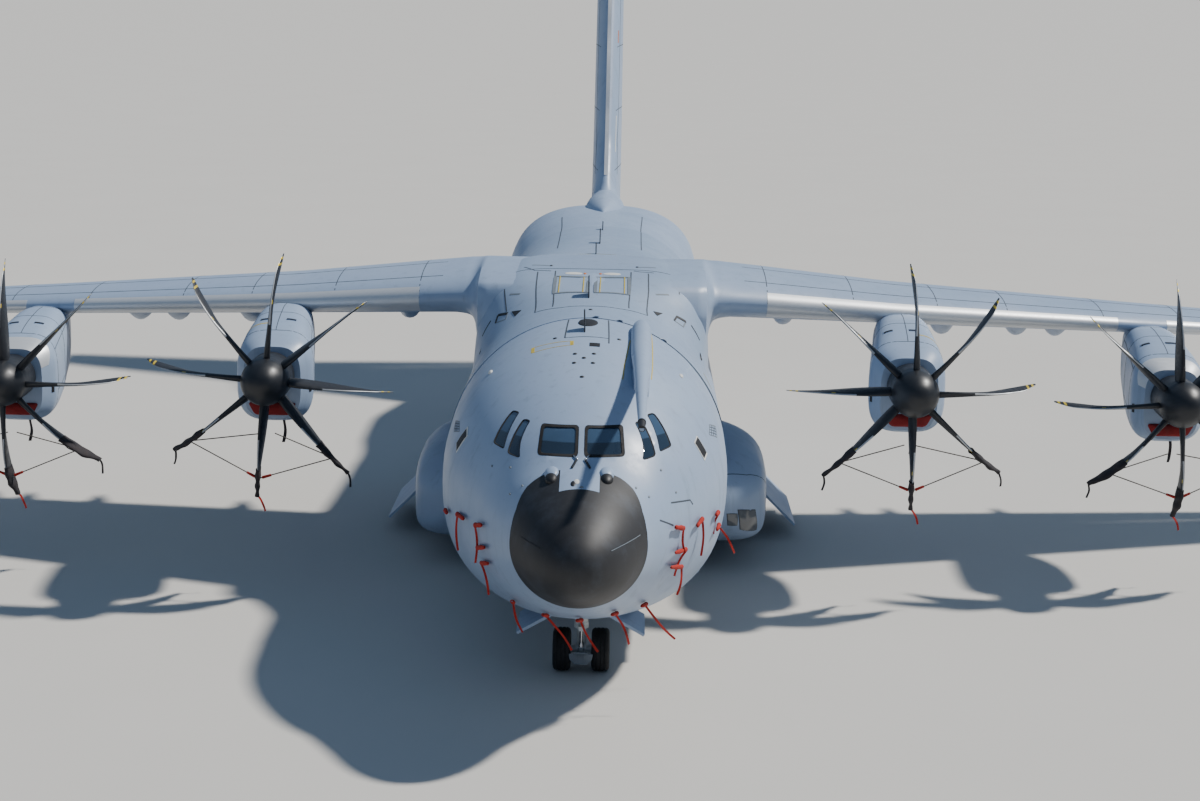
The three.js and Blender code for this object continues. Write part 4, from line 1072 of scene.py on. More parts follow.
def makeCockpit(c):
    coaming = softenEdges(prism(c["coaming"], "x", -1.0, 1.0), 0.02)
    coaming.name = "instrument_coaming"
    dress(coaming, "black", "airframe", None)
    seats = []
    for x, s in c["seats"]:
        back = [(s + 0.34, 4.06), (s + 0.50, 4.06), (s + 0.60, 4.95), (s + 0.48, 4.97)]
        seats += [softenEdges(boxPiece(x - 0.25, x + 0.25, s - 0.05, s + 0.45, 3.552, 4.05), 0.03),
                  softenEdges(prism(back, "x", x - 0.24, x + 0.24), 0.03)]
    dressJoined("pilot_seats", seats, "darkCover", "airframe", None)


makeCockpit(cockpit)
print("windows made")

# --- seams, marks and small fittings of the body

bodyMarks = {
    "pieces": {"seam": "body_seams", "trim": "body_trims", "yellow": "yellow_marks", "black": "black_fittings",
               "white": "white_marks", "orange": "orange_marks", "paint": "sensor_bumps"},
    # finish, width, what else each strip is given, lines
    "strips": [
        ("seam", 0.028, {}, [
            [(-0.82, 12.4, 6.86), (-0.80, 9.75, 6.55)], [(0.84, 12.4, 6.86), (0.82, 9.75, 6.55)],
            [(-1.20, 12.37, 6.75), (-1.15, 9.79, 6.35)], [(1.21, 12.38, 6.75), (1.19, 9.76, 6.34)],
            [(-1.15, 9.79, 6.35), (-0.6, 9.45, 6.5), (0, 9.35, 6.58), (0.6, 9.45, 6.5), (1.19, 9.76, 6.34)],
            [(-1.95, 12.65, 6.55), (-1.2, 12.62, 6.78), (-0.5, 12.6, 6.9), (0.5, 12.6, 6.9), (1.2, 12.62, 6.78),
             (1.95, 12.65, 6.55)],
            [(-1.2, 28.84, 6.41), (-1.05, 20.5, 6.45)], [(1.15, 29.15, 6.42), (1.1, 20.5, 6.45)],
            [(-0.40, 8.15, 6.47), (-0.43, 6.6, 6.34)], [(0.40, 8.15, 6.47), (0.43, 6.3, 6.30)],
            [(-0.43, 6.6, 6.34), (0.43, 6.6, 6.34)],
            [(-1.82, 13.29, 6.85), (-1.98, 12.8, 6.75), (-2.12, 12.0, 6.50)],
            [(1.87, 13.5, 6.85), (1.99, 12.5, 6.68), (2.13, 11.85, 6.43), (2.37, 12.0, 6.19), (2.46, 12.0, 5.93)],
            [(-1.91, 12.35, 6.72), (-1.81, 10.90, 6.21)], [(1.87, 12.32, 6.74), (1.89, 11.66, 6.54)],
            [(-1.535, 12.94, 6.91), (-1.28, 12.48, 6.90), (-0.92, 12.39, 6.91)],
            [(0.90, 12.5, 6.93), (1.04, 12.45, 6.91), (1.34, 12.47, 6.90)],
            [(2.03, 3.46, 3.81), (1.98, 3.38, 3.91), (1.60, 2.72, 4.0)], [(1.42, 2.19, 3.81), (1.70, 2.60, 3.62)]]),
        ("trim", 0.06, {}, [[(-1.35, 13.1, 6.8), (-0.93, 12.9, 6.9)], [(1.37, 13.04, 6.8), (0.97, 12.9, 6.9)]]),
        ("yellow", 0.022, {"closed": True}, [
            [(-1.04, 6.46, 6.15), (-1.03, 6.15, 6.11), (-0.28, 6.11, 6.28), (-0.285, 6.35, 6.32)]]),
        ("yellow", 0.07, {}, [[(-1.04, 6.46, 6.15), (-1.03, 6.15, 6.11)], [(-0.28, 6.11, 6.28), (-0.285, 6.35, 6.32)]]),
        ("yellow", 0.03, {}, [
            [(2.39, 9.37, 5.22), (2.57, 9.66, 4.85)], [(-2.39, 9.37, 5.22), (-2.57, 9.66, 4.85)],
            [(-0.42, 16.6, 6.7), (-0.42, 17.6, 6.6)], [(0.46, 16.6, 6.7), (0.46, 17.6, 6.6)]]),
        ("yellow", 0.02, {}, [[(-0.42, 17.7, 6.6), (0.0, 17.9, 6.62), (0.46, 17.7, 6.6)]]),
        ("black", 0.045, {"spacing": 0.08}, [
            [(-2.34, 11.13, 5.63), (-2.16, 11.15, 5.97)], [(2.15, 11.10, 5.95), (2.34, 11.12, 5.63)]]),
        ("trim", 0.05, {"spacing": 0.08}, [
            [(-1.77, 11.44, 6.50), (-1.54, 11.26, 6.54)], [(1.38, 11.21, 6.59), (1.66, 11.43, 6.56)]]),
        ("trim", 0.012, {"spacing": 0.1, "height": 0.010}, [[(0.576, 0.42, 3.69), (1.07, 1.38, 3.74)]]),
        ("black", 0.016, {"spacing": 0.1, "height": 0.010}, [[(-0.98, 1.15, 3.72), (-0.63, 0.49, 3.70)]]),
        ("white", 0.30, {"spacing": 0.07, "height": 0.008}, [
            [(-2.39, 5.02, 4.44), (-2.19, 4.86, 4.82)], [(2.09, 4.56, 4.80), (2.28, 4.62, 4.44)]]),
        ("black", 0.25, {"spacing": 0.07, "height": 0.014}, [
            [(-2.378, 5.0104, 4.4628), (-2.21, 4.876, 4.782)], [(2.1014, 4.5636, 4.7784), (2.261, 4.614, 4.476)]]),
    ],
    # finish, size across, along and up, places
    "domes": [
        ("white", (0.20, 0.10, 0.018), [(-0.42, 12.2, 6.87), (0.42, 12.2, 6.87)]),
        ("orange", (0.035, 0.06, 0.014), [(-0.17, 12.2, 6.88), (0.17, 12.2, 6.88)]),
        ("black", (0.035, 0.05, 0.02), [(-0.93, 12.9, 6.9), (0.97, 12.9, 6.9)]),
        ("black", (0.20, 0.34, 0.03), [(0.0, 7.75, 6.47)]),
        ("black", (0.045, 0.04, 0.02), [
            (-0.205, 5.62, 6.19), (0.156, 5.63, 6.20), (-0.03, 5.42, 6.15), (-0.21, 5.21, 6.09), (0.146, 5.21, 6.09),
            (-0.045, 4.62, 5.93), (-0.62, 6.68, 6.30), (0.62, 6.68, 6.30), (0.02, 9.0, 6.53)]),
        ("white", (0.05, 0.09, 0.035), [(-1.86, 6.5, 5.65), (1.84, 6.42, 5.66)]),
        ("trim", (0.022, 0.035, 0.015), [
            (-1.24, 2.26, 4.22), (-1.02, 2.18, 4.39), (0.99, 2.14, 4.40), (1.22, 2.23, 4.22), (-1.62, 3.17, 4.52),
            (1.43, 2.94, 4.55), (-1.30, 2.75, 4.62), (-1.62, 3.0, 4.15), (1.66, 3.0, 4.12), (1.42, 2.5, 4.0)]),
        ("paint", (0.13, 0.20, 0.085), [(-0.505, 2.10, 4.65), (0.475, 2.10, 4.66)]),
        ("black", (0.11, 0.17, 0.08), [(-0.505, 1.93, 4.58), (0.475, 1.93, 4.59)]),
        ("black", (0.045, 0.09, 0.02), [(-0.11, 1.62, 4.57)]),
        ("white", (0.05, 0.08, 0.02), [(-0.05, 1.68, 4.59)]),
        ("trim", (0.035, 0.035, 0.02), [(0.04, 1.51, 4.54)]),
    ],
    # height, parts across and along, corners
    "patches": [
        (0.006, 6, 6, [(0.06, 6.22, 6.30), (0.26, 6.22, 6.29), (0.26, 6.02, 6.27), (0.06, 6.02, 6.28)]),
        (0.006, 4, 4, [(-1.69, 10.74, 6.23), (-1.47, 10.50, 6.30), (-1.60, 10.37, 6.18), (-1.60, 10.37, 6.18)]),
        (0.006, 4, 4, [(1.32, 10.35, 6.35), (1.52, 10.54, 6.28), (1.40, 10.21, 6.27), (1.40, 10.21, 6.27)]),
        (0.010, 3, 4, [(-2.33, 10.59, 5.45), (-2.33, 10.59, 5.45), (-2.27, 10.45, 5.20), (-2.34, 10.50, 5.20)]),
        (0.010, 3, 4, [(2.334, 10.68, 5.435), (2.334, 10.68, 5.435), (2.377, 10.51, 5.293), (2.30, 10.30, 5.30)]),
    ],
    "antennas": [((-0.04, 10.39, 6.65), 0.50, 0.42), ((-0.05, 7.10, 6.41), 0.42, 0.40), ((0.03, 21.1, 6.55), 0.45, 0.38),
                 ((0.05, 24.6, 6.5), 0.30, 0.26), ((-0.02, 17.9, 6.62), 0.30, 0.28)],
    "hatch": [(-0.80, 11.95, 6.80), (-0.08, 11.90, 6.85), (-0.08, 10.68, 6.68), (-0.80, 10.80, 6.62)],
    "framedInlets": [[(-2.04, 10.87, 5.96), (-2.00, 11.04, 6.10), (-1.78, 10.80, 6.18), (-1.81, 10.60, 6.08)],
                     [(1.77, 10.61, 6.12), (1.83, 10.86, 6.17), (2.03, 10.99, 6.04), (1.97, 10.71, 5.97)]],
    "grilles": [[(-2.52, 6.3, 4.72), (-2.42, 5.75, 4.82), (-2.38, 5.35, 4.70), (-2.50, 5.8, 4.60)],
                [(2.42, 5.75, 4.86), (2.54, 6.25, 4.72), (2.52, 5.9, 4.56), (2.38, 5.4, 4.72)]],
}


def makeBodyMarks(c):
    body = skinTree("radome_shell", "nose_skin", "centre_skin", "wing_hood", "rear_skin", "crew_door_panel")
    marks = {finish: [] for finish in c["pieces"]}

    def addStrips(finish, width, paths, **options):
        marks[finish] += [strip(body, path, width, **options) for path in paths]
    for finish, width, options, paths in c["strips"]:
        addStrips(finish, width, paths, **options)
    for finish, sizes, points in c["domes"]:
        marks[finish] += [dome(body, point, *sizes) for point in points]
    marks["black"] += [patch(body, corners, *grid) for *grid, corners in c["patches"]]
    marks["black"] += [finAntenna(body, *row) for row in c["antennas"]]
    for side in (1, -1):
        outline = [(side * x, s, z) for x, s, z in c["hatch"]]
        inset = [(side * (x + (0.10 if x < -0.5 else -0.10)), s, z) for x, s, z in c["hatch"]]
        addStrips("trim", 0.075, [outline], closed=True, height=0.012)
        addStrips("yellow", 0.022, [(inset[0], inset[3]), (inset[1], inset[2])], height=0.014)
    addStrips("trim", 0.035, c["framedInlets"], closed=True, spacing=0.06)
    for first, second, third, fourth in c["framedInlets"]:
        addStrips("black", 0.07, [(second, third)], spacing=0.05, height=0.010)
        addStrips("black", 0.045, [(first, second)], spacing=0.05, height=0.010)
    addStrips("trim", 0.018, c["grilles"], closed=True, spacing=0.08)
    for corners in c["grilles"]:
        first, second, third, fourth = (Vector(corner) for corner in corners)
        for k in (0.25, 0.5, 0.75):
            bars = [(first.lerp(fourth, k), second.lerp(third, k)), (first.lerp(second, k), fourth.lerp(third, k))]
            addStrips("seam", 0.014, bars, spacing=0.08)
    for finish, name in c["pieces"].items():
        dressJoined(name, marks[finish], finish)


makeBodyMarks(bodyMarks)
print("body marks made")

# --- refuelling probe

probe = {
    "x": 1.06,
    # station, height, radius
    "tube": slopesOf([(1.00, 5.69, 0.045), (1.12, 5.71, 0.055), (1.75, 5.77, 0.075), (3.20, 5.93, 0.115),
                      (4.70, 6.08, 0.155), (6.00, 6.21, 0.20), (7.40, 6.34, 0.20), (7.95, 6.38, 0.15),
                      (8.15, 6.38, 0.06)]),
    # station, left foot, right foot, height of the top
    "foot": slopesOf([(4.5, 0.90, 1.20, 5.95), (5.2, 0.74, 1.27, 6.12), (6.6, 0.80, 1.28, 6.26),
                      (8.1, 0.92, 1.22, 6.36)]),
    "lines": [[(0.89, 8.09, 6.34), (0.82, 6.56, 6.23), (0.74, 5.4, 6.04), (0.71, 4.76, 5.86)],
              [(1.26, 8.17, 6.19), (1.27, 6.6, 6.05), (1.25, 5.23, 5.79)]],
}


def makeProbe(c):
    x = c["x"]

    def tubeAt(u, v):
        s = 1.0 + 7.15 * v
        z, radius = smoothRow(c["tube"], s)
        return ringPoint(x, s, z, radius, radius, u)

    def footAt(u, v):
        s = 4.5 + 3.6 * v
        left, right, z = smoothRow(c["foot"], s)
        side, rise = [(left, 5.3), (x - 0.13, z), (x + 0.13, z), (right, 5.3), (left, 5.3)][round(u * 4)]
        return place(side, s, rise)
    tube = closedPiece("refuelling_probe_skin", 32, 60, tubeAt)
    cut(tube, closedPiece("foot", 4, 24, footAt), "UNION")
    cut(tube, fuselageLoft("inner", 2.0, 8.2, -0.02, rings=40))
    cut(tube, fuselageLoft("inner", 8.19, 9.0, -0.02, rings=6))
    dress(tube, "paint", "airframe", "paint", "refuelling_probe", 50)
    skins = skinTree("refuelling_probe_skin", "nose_skin")
    dressJoined("probe_lines", [strip(skins, points, 0.022) for points in c["lines"]], "yellow")
    nozzle = [rodPiece((x, 1.001, 5.69), (x, 1.30, 5.727), 0.058, 0.070, 24),
              rodPiece((x, 1.30, 5.727), (x, 1.36, 5.733), 0.076, 0.076, 24)]
    dressJoined("probe_nozzle", nozzle, "black")


makeProbe(probe)
print("probe made")

# --- wheels and nose gear

wheels = {
    "nose": {"x": 0.0, "radius": 0.42, "gauge": 0.375, "width": 0.35, "grooves": (-0.22, 0.0, 0.22)},
    "main": {"x": 3.1, "radius": 0.545, "gauge": 0.33, "width": 0.39, "grooves": (-0.24, -0.08, 0.08, 0.24)},
    "stations": {"front": 17.4, "middle": 19.0, "rear": 20.6}, "noseStation": 5.45,
}


def turnedPiece(middle, profile, sides):
    x, s, z = middle

    def pointAt(u, v):
        r, along = profile[round(v * (len(profile) - 1))]
        return place(x + along, s + r * math.sin(fullTurn * u), z + r * math.cos(fullTurn * u))
    return closedPiece("turned", sides, len(profile) - 1, pointAt)


def makeTwinWheels(standsFor, c, x, s):
    r, w, gauge = c["radius"], c["width"], c["gauge"]
    tyre = [(0.56 * r, -0.40), (0.66 * r, -0.47), (0.78 * r, -0.50), (0.90 * r, -0.465), (0.965 * r, -0.39),
            (r - 0.002, -0.30)]
    for at in c["grooves"]:
        tyre += [(r, at - 0.028), (r - 0.014, at - 0.020), (r - 0.014, at + 0.020), (r, at + 0.028)]
    tyre += [(a, -b) for a, b in reversed(tyre[:6])]
    hub = [(0.0, -0.20), (0.16 * r, -0.20), (0.20 * r, -0.32), (0.26 * r, -0.33), (0.30 * r, -0.22),
           (0.48 * r, -0.24), (0.52 * r, -0.40), (0.575 * r, -0.43)]
    hub += [(a, -b) for a, b in reversed(hub)]
    tyres, hubs = [], [rodPiece((x - gauge, s, r), (x + gauge, s, r), 0.078, sides=24)]
    for side in (-1, 1):
        middle = (x + side * gauge, s, r)
        tyres.append(turnedPiece(middle, [(a, b * w) for a, b in tyre + tyre[:1]], 56))
        hubs.append(turnedPiece(middle, [(a, b * w) for a, b in hub], 40))
        for k in range(8):
            around = math.pi * k / 4
            a, b = s + 0.39 * r * math.sin(around), r + 0.39 * r * math.cos(around)
            reach = x + side * (gauge + 0.22 * w)
            hubs.append(rodPiece((reach, a, b), (reach + side * 0.03, a, b), 0.016, 0.012, 6))
    name, body = standsFor.replace("_wheels", ""), f"{standsFor}_body"
    dressJoined(f"{name}_tyres", tyres, "rubber", body, "tyre", standsFor)
    dressJoined(f"{name}_hubs", hubs, "gear", body, "tyre")


makeTwinWheels("nose_wheels", wheels["nose"], 0.0, wheels["noseStation"])
for row, station in wheels["stations"].items():
    for sideName, side in (("port", 1), ("starboard", -1)):
        makeTwinWheels(f"main_wheels_{row}_{sideName}", wheels["main"], side * wheels["main"]["x"], station)

noseGear = {
    "towPlate": [(-0.235, 0.44), (0.235, 0.44), (0.215, 0.32), (0.12, 0.23), (-0.12, 0.23), (-0.215, 0.32)],
    "links": [[(5.52, 0.86), (5.78, 0.70), (5.79, 0.66), (5.52, 0.80)],
              [(5.78, 0.70), (5.58, 0.46), (5.54, 0.48), (5.74, 0.71)]],
}


def makeNoseGear(c):
    plate = [softenEdges(prism(rounded(c["towPlate"], 0.03), "s", 5.03, 5.07), 0.004),
             rodPiece((-0.12, 5.0, 0.47), (0.12, 5.0, 0.47), 0.022, sides=12)]
    rod = [rodPiece((0, 5.33, 0.52), (0, 5.33, 0.93), 0.032, sides=20),
           rodPiece((0, 5.33, 0.50), (0, 5.33, 0.58), 0.062, 0.05, 20),
           rodPiece((0, 5.33, 0.86), (0, 5.33, 0.94), 0.05, 0.06, 20)]
    rod += [prism(link, "x", -0.03, 0.03) for link in c["links"]]
    lamps, lenses = [], []
    for side in (-1, 1):
        plate.append(boxPiece(side * 0.055 - 0.012, side * 0.055 + 0.012, 4.99, 5.33, 0.36, 0.47))
        lamps += [rodPiece((side * 0.13, 5.36, 1.16), (side * 0.13, 5.26, 1.15), 0.045, 0.075, 20),
                  rodPiece((side * 0.145, 5.50, 1.62), (side * 0.145, 5.50, 1.02), 0.016, sides=10)]
        lenses.append(rodPiece((side * 0.13, 5.262, 1.15), (side * 0.13, 5.252, 1.149), 0.07, 0.055, 20))
    dressJoined("tow_plate", plate, "trim", "nose_gear_steering", None)
    dressJoined("nose_gear_rod", rod, "steel", "nose_gear_steering", None)
    dressJoined("gear_lamps", lamps, "gear", "airframe", None)
    dressJoined("gear_lenses", lenses, "lamp", "airframe", None)


makeNoseGear(noseGear)
print("wheels and nose gear made")

# --- nacelle fittings

nacelleMarks = {
    # the black piece holds the slots and the painted shadow patches on the nacelles' sides
    "pieces": {"seam": "nacelle_seams", "black": "nacelle_slots_and_shadows", "yellow": "nacelle_lines",
               "bareMetal": "nacelle_crescents", "paint": "nacelle_trims"},
    # width, steps, and the two ends: distance aft of the propeller and degrees from the top
    "seams": [(0.020, 30, 1.05, -150, 1.05, 150), (0.020, 30, 2.35, -120, 2.35, 120), (0.020, 30, 3.4, -100, 3.4, 100),
              (0.016, 12, 1.05, -62, 3.35, -62), (0.016, 12, 1.05, 0, 3.35, 0), (0.016, 12, 1.05, 62, 3.35, 62),
              (0.016, 8, 1.05, -98, 2.35, -98)],
    "yellowLine": (0.05, 12, 1.46, 5, 1.46, 75),
    "slots": [(-0.47, -0.25), (0.12, 0.34)], "slotAft": 1.76,
    # a black patch on the inboard side behind the propeller, a painted shadow: distance aft of the propeller, height
    # from the shaft
    "sideShadow": [(0.62, -0.22), (0.80, -0.24), (0.80, -0.42), (0.62, -0.42)],
}


def makeNacelleMarks(c):
    marks = {finish: [] for finish in c["pieces"]}
    for name, engine in engines.items():
        x, s, z = hub = engine["at"]
        outward = math.copysign(1, x)
        skin = skinTree(f"nacelle_skin_{name}")

        def over(width, steps, aft, degrees, endAft, endDegrees):
            shares = [k / steps for k in range(steps + 1)]
            return strip(skin, [fullSize(nacellePoint(
                hub, aft + (endAft - aft) * share, math.radians(degrees + (endDegrees - degrees) * share) * outward))
                for share in shares], width)

        def crescentAt(u, v):
            turn = -68 + 136 * u
            return nacellePoint(hub, 0.362 + (0.46 * math.cos(math.radians(turn)) + 0.03) * v,
                                math.radians(turn - 6) * outward, 0.004)
        for first, last in c["slots"]:
            ends = [(x + first, s + c["slotAft"], z + 1.0), (x + last, s + c["slotAft"], z + 1.0)]
            marks["paint"].append(strip(skin, ends, 0.13, spacing=0.06, height=0.012))
            ends = [(a, b - 0.03, d) for a, b, d in ends]
            marks["black"].append(strip(skin, ends, 0.07, spacing=0.06, height=0.020))
        marks["seam"] += [over(*row) for row in c["seams"]]
        if "inner" in name:
            marks["yellow"].append(over(*c["yellowLine"]))
        else:
            marks["bareMetal"].append(shellPiece("crescent", 28, 6, crescentAt, 0.003))
        # painted shadow: a black patch on the inboard side of the nacelle behind the propeller
        marks["black"].append(patch(skin, [(x - outward * 0.75, s + a, z + b) for a, b in c["sideShadow"]]))
        outline = rounded([(a * 1.02, b) for a, b in intakeMouth], 0.09)
        middle = Vector((0, -0.765))

        def coverAt(u, v):
            corner = Vector(outline[round(u * len(outline)) % len(outline)])
            out = min(1.0, v * 2) if v <= 0.5 else 2 - 2 * v
            spot = middle + (corner - middle) * math.sin(out * math.pi / 2) * 0.985
            bulge = 0.10 * math.cos(out * math.pi / 2) + 0.012 * math.sin(spot.x * 26) * (1 - out)
            return place(x + spot.x, s + (0.345 - bulge if v <= 0.5 else 0.47), z + spot.y)
        cover = closedPiece(f"intake_cover_{name}", len(outline), 16, coverAt)
        dress(cover, "intakeCover", smooth=60)
    for finish, name in c["pieces"].items():
        dressJoined(name, marks[finish], finish)


makeNacelleMarks(nacelleMarks)
print("nacelle fittings made")

# --- wing, tail and sponson marks

surfaceMarks = {
    "wingLines": [0.10, 0.30, 0.62], "wingJoints": [3.9, 5.9, 7.9, 9.6, 12.0, 14.0, 17.0, 20.6],
    "finLine": 0.10, "finJoints": [7.4, 9.2, 11.2, 13.2],
    "finMarks": [("orange", 11.3, 11.7), ("white", 7.9, 9.0)],
    "lamps": [[(3.35, 12.74, 1.51), (3.755, 13.056, 1.444), (3.80, 13.20, 0.95), (3.42, 12.85, 1.04)],
              [(3.10, 12.617, 1.443), (3.33, 12.73, 1.42), (3.34, 12.77, 1.155), (3.13, 12.69, 1.17)]],
    "sponsonSeam": [(3.05, 12.9, 2.4), (3.6, 13.2, 2.3), (4.0, 13.9, 1.9), (4.05, 14.0, 0.9)],
}


def makeSurfaceMarks(c):
    wing = skinTree("wing_skin_port", "aileron_skin_port")
    fin, sponson = skinTree("fin_skin"), skinTree("sponson_skin_port")

    def overWing(x, share):
        return fullSize(wingPoint(x, share, smoothRow(upperSide, math.sqrt(share))[0]))

    def besideFin(x, z, share, aft=0.0):
        edgeS, chord, thickness = straightRow(finRows, z)
        return x, edgeS + chord * share + aft, z
    lines = [strip(wing, [overWing(3.4 + 17.0 * k / 40, share) for k in range(41)], 0.022, spacing=0.5)
             for share in c["wingLines"]]
    lines += [strip(wing, [overWing(x, 0.001 + 0.7 * (k / 12) ** 1.6) for k in range(13)], 0.020, spacing=0.4)
              for x in c["wingJoints"]]
    dressPair(joinPieces("wing_lines_port", lines), "seam")
    edge = [besideFin(0.0, z, 0) for z in (7.2, 9.0, 11.0, 13.6)]
    dressJoined("fin_edge", [strip(fin, edge, 0.12, spacing=0.4, height=0.008)], "bareMetal")
    seams = []
    for x in (-0.5, 0.5):
        seams += [strip(fin, [besideFin(x, z, 0.03 + 0.6 * k / 12) for k in range(13)], 0.022, spacing=0.5)
                  for z in c["finJoints"]]
        seams.append(strip(fin, [besideFin(x, z, c["finLine"]) for z in (7.2, 9.0, 11.0, 13.4)], 0.022, spacing=0.5))
    dressJoined("fin_seams", seams, "seam")
    for finish, low, high in c["finMarks"]:
        edge = [besideFin(0.40, z, 0, 0.30) for z in (low, (low + high) / 2, high)]
        dressJoined(f"fin_mark_{finish}", [strip(fin, edge, 0.05, spacing=0.3)], finish)
    frames = [strip(sponson, corners, 0.035, closed=True, spacing=0.1) for corners in c["lamps"]]
    dressJoined("sponson_frames", [*frames, strip(sponson, c["sponsonSeam"], 0.02)], "seam")
    dressJoined("sponson_lamps", [patch(sponson, corners, 0.010) for corners in c["lamps"]], "lamp")


makeSurfaceMarks(surfaceMarks)
print("wing, fin and sponson marks made")

# --- wipers

wiperPaths = [[(-0.16, 2.58, 4.86), (-0.07, 2.40, 4.82), (-0.145, 2.14, 4.73)],
              [(0.18, 2.60, 4.86), (0.08, 2.40, 4.82), (0.17, 2.15, 4.73)]]


def makeWipers(paths):
    nose = skinTree("nose_skin")
    arms, blades = [], []
    for foot, joint, tip in paths:
        arms += [strip(nose, [foot, joint], 0.022, spacing=0.05, height=0.030), dome(nose, joint, 0.03, 0.03, 0.04)]
        blades.append(strip(nose, [joint, tip], 0.028, spacing=0.06, height=0.034))
    dressJoined("wiper_arms", arms, "steel")
    dressJoined("wiper_blades", blades, "black")


makeWipers(wiperPaths)
print("wipers made")

# --- cloth: probe sleeves, streamers, blade boots and their tethers

clothParts = {
    # the two ends of each sleeve, then the foot of its streamer
    "sleeves": [
        [(-2.54, 4.95, 3.26), (-2.47, 4.62, 3.30), None],
        [(-2.25, 3.93, 3.43), (-2.07, 3.49, 3.46), (-2.29, 4.02, 2.72)],
        [(-1.85, 3.01, 3.46), (-1.68, 2.63, 3.56), (-1.90, 3.05, 2.74)],
        [(-1.82, 3.05, 3.04), (-1.62, 2.57, 3.18), None],
        [(-1.75, 3.14, 2.74), (-1.57, 2.64, 2.88), (-1.66, 3.10, 2.12)],
        [(1.82, 2.92, 3.50), (1.63, 2.52, 3.61), (1.90, 2.96, 3.02)],
        [(2.18, 3.75, 3.48), (2.04, 3.44, 3.42), (2.22, 3.80, 2.76)],
        [(2.52, 4.72, 3.37), (2.44, 4.46, 3.38), (2.48, 4.80, 2.94)],
        [(2.52, 4.95, 3.08), (2.46, 4.66, 3.06), (2.90, 5.05, 2.50)],
        [(1.87, 3.16, 3.05), (1.64, 2.61, 3.14), (1.72, 3.10, 2.55)],
        [(1.81, 3.30, 2.70), (1.57, 2.65, 2.87), (1.78, 3.25, 2.15)],
        [(-1.19, 3.30, 1.99), (-1.22, 3.00, 2.05), (-1.04, 3.25, 1.38)],
        [(-0.56, 2.88, 1.90), (-0.62, 2.60, 1.98), (-0.12, 2.80, 1.20)],
        [(0.04, 2.80, 1.84), (-0.02, 2.50, 1.92), (0.36, 2.75, 1.20)],
        [(0.66, 2.60, 2.02), (0.58, 2.36, 2.08), (0.92, 2.60, 1.40)],
        [(1.20, 3.20, 2.00), (1.10, 2.92, 2.08), (1.76, 3.10, 1.36)],
    ],
    "sleeveRadius": 0.030, "streamerWidth": 0.042, "thickness": 0.005,
    # blade: where its boot starts, where its ribbon ends below the tip, finish of the ribbon
    "boots": {3: (1.75, (0.06, 0, -0.34), "darkCover"), 4: (1.95, (0.16, 0, -0.36), "redCover"),
              5: (1.75, (-0.03, 0, -0.34), "darkCover")},
    "bootEnd": 2.69, "bladeEnd": 2.664,
}


def declareCloth(length):
    length *= modelScale


def streamer(name, start, end, width, finish, body, sway, phase):
    start, end = Vector(start), Vector(end)
    along = (end - start).normalized()
    across = along.cross(Vector((0, 1, 0))).normalized()
    out = along.cross(across)

    def pointAt(u, v):
        turn = 0.5 * math.sin(3.1 * v + phase)
        side = across * math.cos(turn) + out * math.sin(turn)
        middle = start.lerp(end, v) + across * sway * math.sin(math.pi * v) + out * 0.02 * math.sin(7 * v + phase)
        return place(*(middle + side * (u - 0.5) * width))
    piece = shellPiece(name, 3, 22, pointAt, clothParts["thickness"])
    dress(piece, finish, body, smooth=70)
    declareCloth((end - start).length + abs(sway) * 0.4)


def makeSleeves(c):
    skins = skinTree("nose_skin", "radome_shell")
    for k, (root, tip, foot) in enumerate(c["sleeves"]):
        (a, n), (b, m) = onSkin(skins, root), onSkin(skins, tip)
        a, b = a + n * 0.050 * modelScale, b + m * 0.085 * modelScale
        along = b - a
        side = along.cross(n).normalized()
        up = side.cross(along).normalized()

        def sleeveAt(u, v):
            radius = c["sleeveRadius"] * modelScale * (1.25 - 0.35 * v + 0.12 * math.sin(9 * v + k))
            if v > 0.999:
                radius *= 0.4
            return a + along * v + (side * math.cos(fullTurn * u) * 1.25 + up * math.sin(fullTurn * u)) * radius
        sleeve = shellPiece(f"probe_sleeve_{k}", 14, 12, sleeveAt, c["thickness"])
        dress(sleeve, "redCover", smooth=60)
        declareCloth(along.length / modelScale)
        if foot:
            start = fullSize(a) - Vector((0, 0, 0.03))
            streamer(f"streamer_{k}", start, foot, c["streamerWidth"], "redCover", "airframe", 0.03 * (-1) ** k, k)


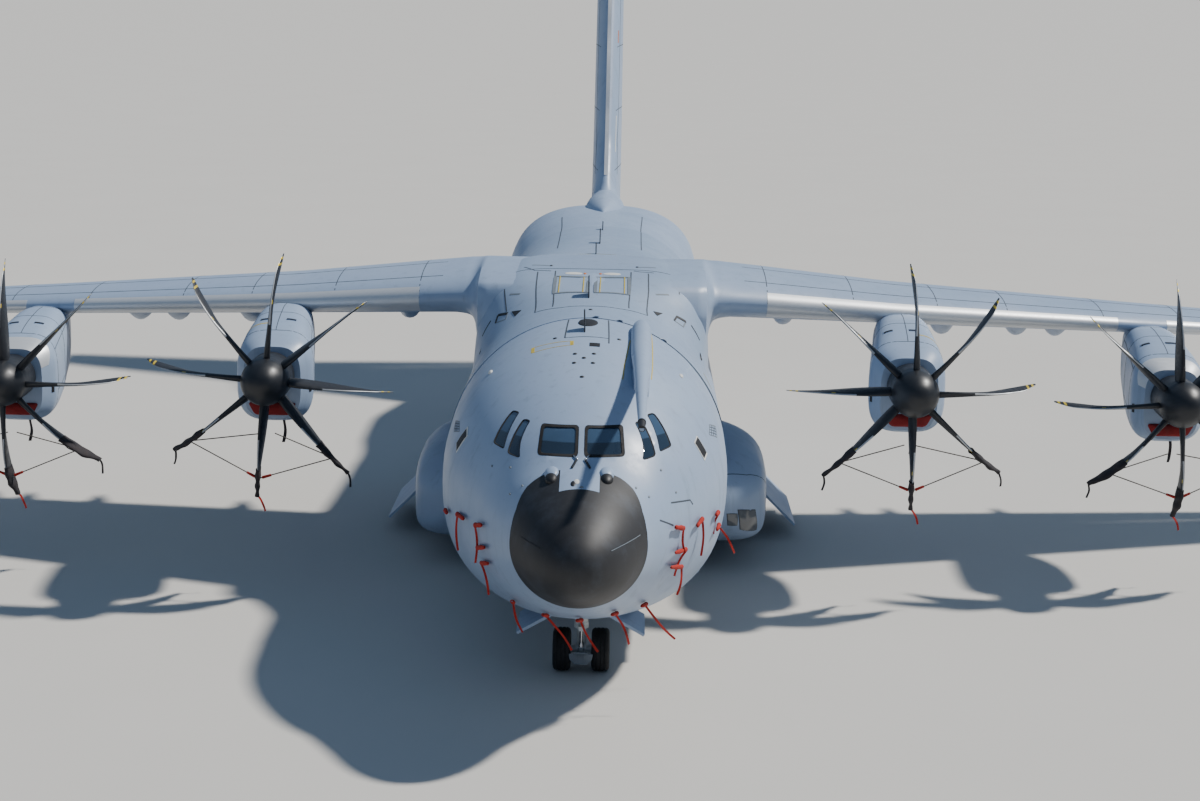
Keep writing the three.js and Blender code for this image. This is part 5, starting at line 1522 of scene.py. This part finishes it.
def makeBoots(c):
    for name, engine in engines.items():
        hub, phase, hand = engine["at"], engine["phase"], engine["hand"]
        body = f"propeller_{name}_body"
        spots = {}
        for k, (inner, drop, ribbonFinish) in c["boots"].items():
            around, length = math.radians(phase + 45 * k), c["bootEnd"] - inner

            def bootAt(u, v):
                r = min(inner + length * v, c["bladeEnd"])
                x, s, z = bladePoint(hub, around, hand, r, *airfoil(u), 0.035 + 0.012 * math.sin(17 * v + k))
                extra = inner + length * v - r
                return place(x + extra * math.sin(around), s, z + extra * math.cos(around))
            boot = shellPiece(f"blade_boot_{name}_{k}", 24, 26, bootAt, c["thickness"])
            dress(boot, "darkCover", body, "blade", smooth=60)
            declareCloth(length)
            spots[k] = Vector(bladePoint(hub, around, hand, 2.20, 0.5, 0.0))
            tip = Vector(bladePoint(hub, around, hand, 2.66, 0.5, 0.0))
            streamer(f"tip_ribbon_{name}_{k}", tip + Vector((0, 0.02, -0.02)), tip + Vector(drop), 0.045,
                     ribbonFinish, body, 0.03, k)
        ropes, grips = [], []
        for k, side in ((3, 1), (5, -1)):
            low, end = spots[4], spots[k]
            chin = Vector(hub) + Vector((0.10 * side, 0.05, -1.24))
            ropes += [rodPiece(low, end, 0.013, sides=8), rodPiece(end, chin, 0.013, sides=8)]
            grips.append(rodPiece(low.lerp(end, 0.05), low.lerp(end, 0.17), 0.034, 0.028, 12))
        dressJoined(f"blade_ropes_{name}", ropes, "rope", body, "blade")
        dressJoined(f"rope_grips_{name}", grips, "redCover", body, "blade")
        x, s, z = hub
        streamer(f"chin_strap_{name}", (x + 0.16, s + 0.95, z - 1.12), (x + 0.14, s + 0.97, z - 1.62), 0.07,
                 "darkCover", "airframe", 0.03, 1)


makeSleeves(clothParts)
makeBoots(clothParts)
print("cloth made")

# --- finishes of the CAD nodes that stay as they are

keptFinishes = {
    "paint": "paint", "fairing": "fairing", "radome": "radome", "blade": "blade", "glass": "glass",
    "engine_metal": "engine", "gear": "gear", "tyre": "rubber", "floor": "floor",
}
for part in frame["record"]["subparts"]:
    node = frame["nodes"][part["node"]]
    if not node.hide_render:
        node.data.materials.clear()
        node.data.materials.append(finishes[keptFinishes[part["material_slot"]]])
print("kept nodes finished")
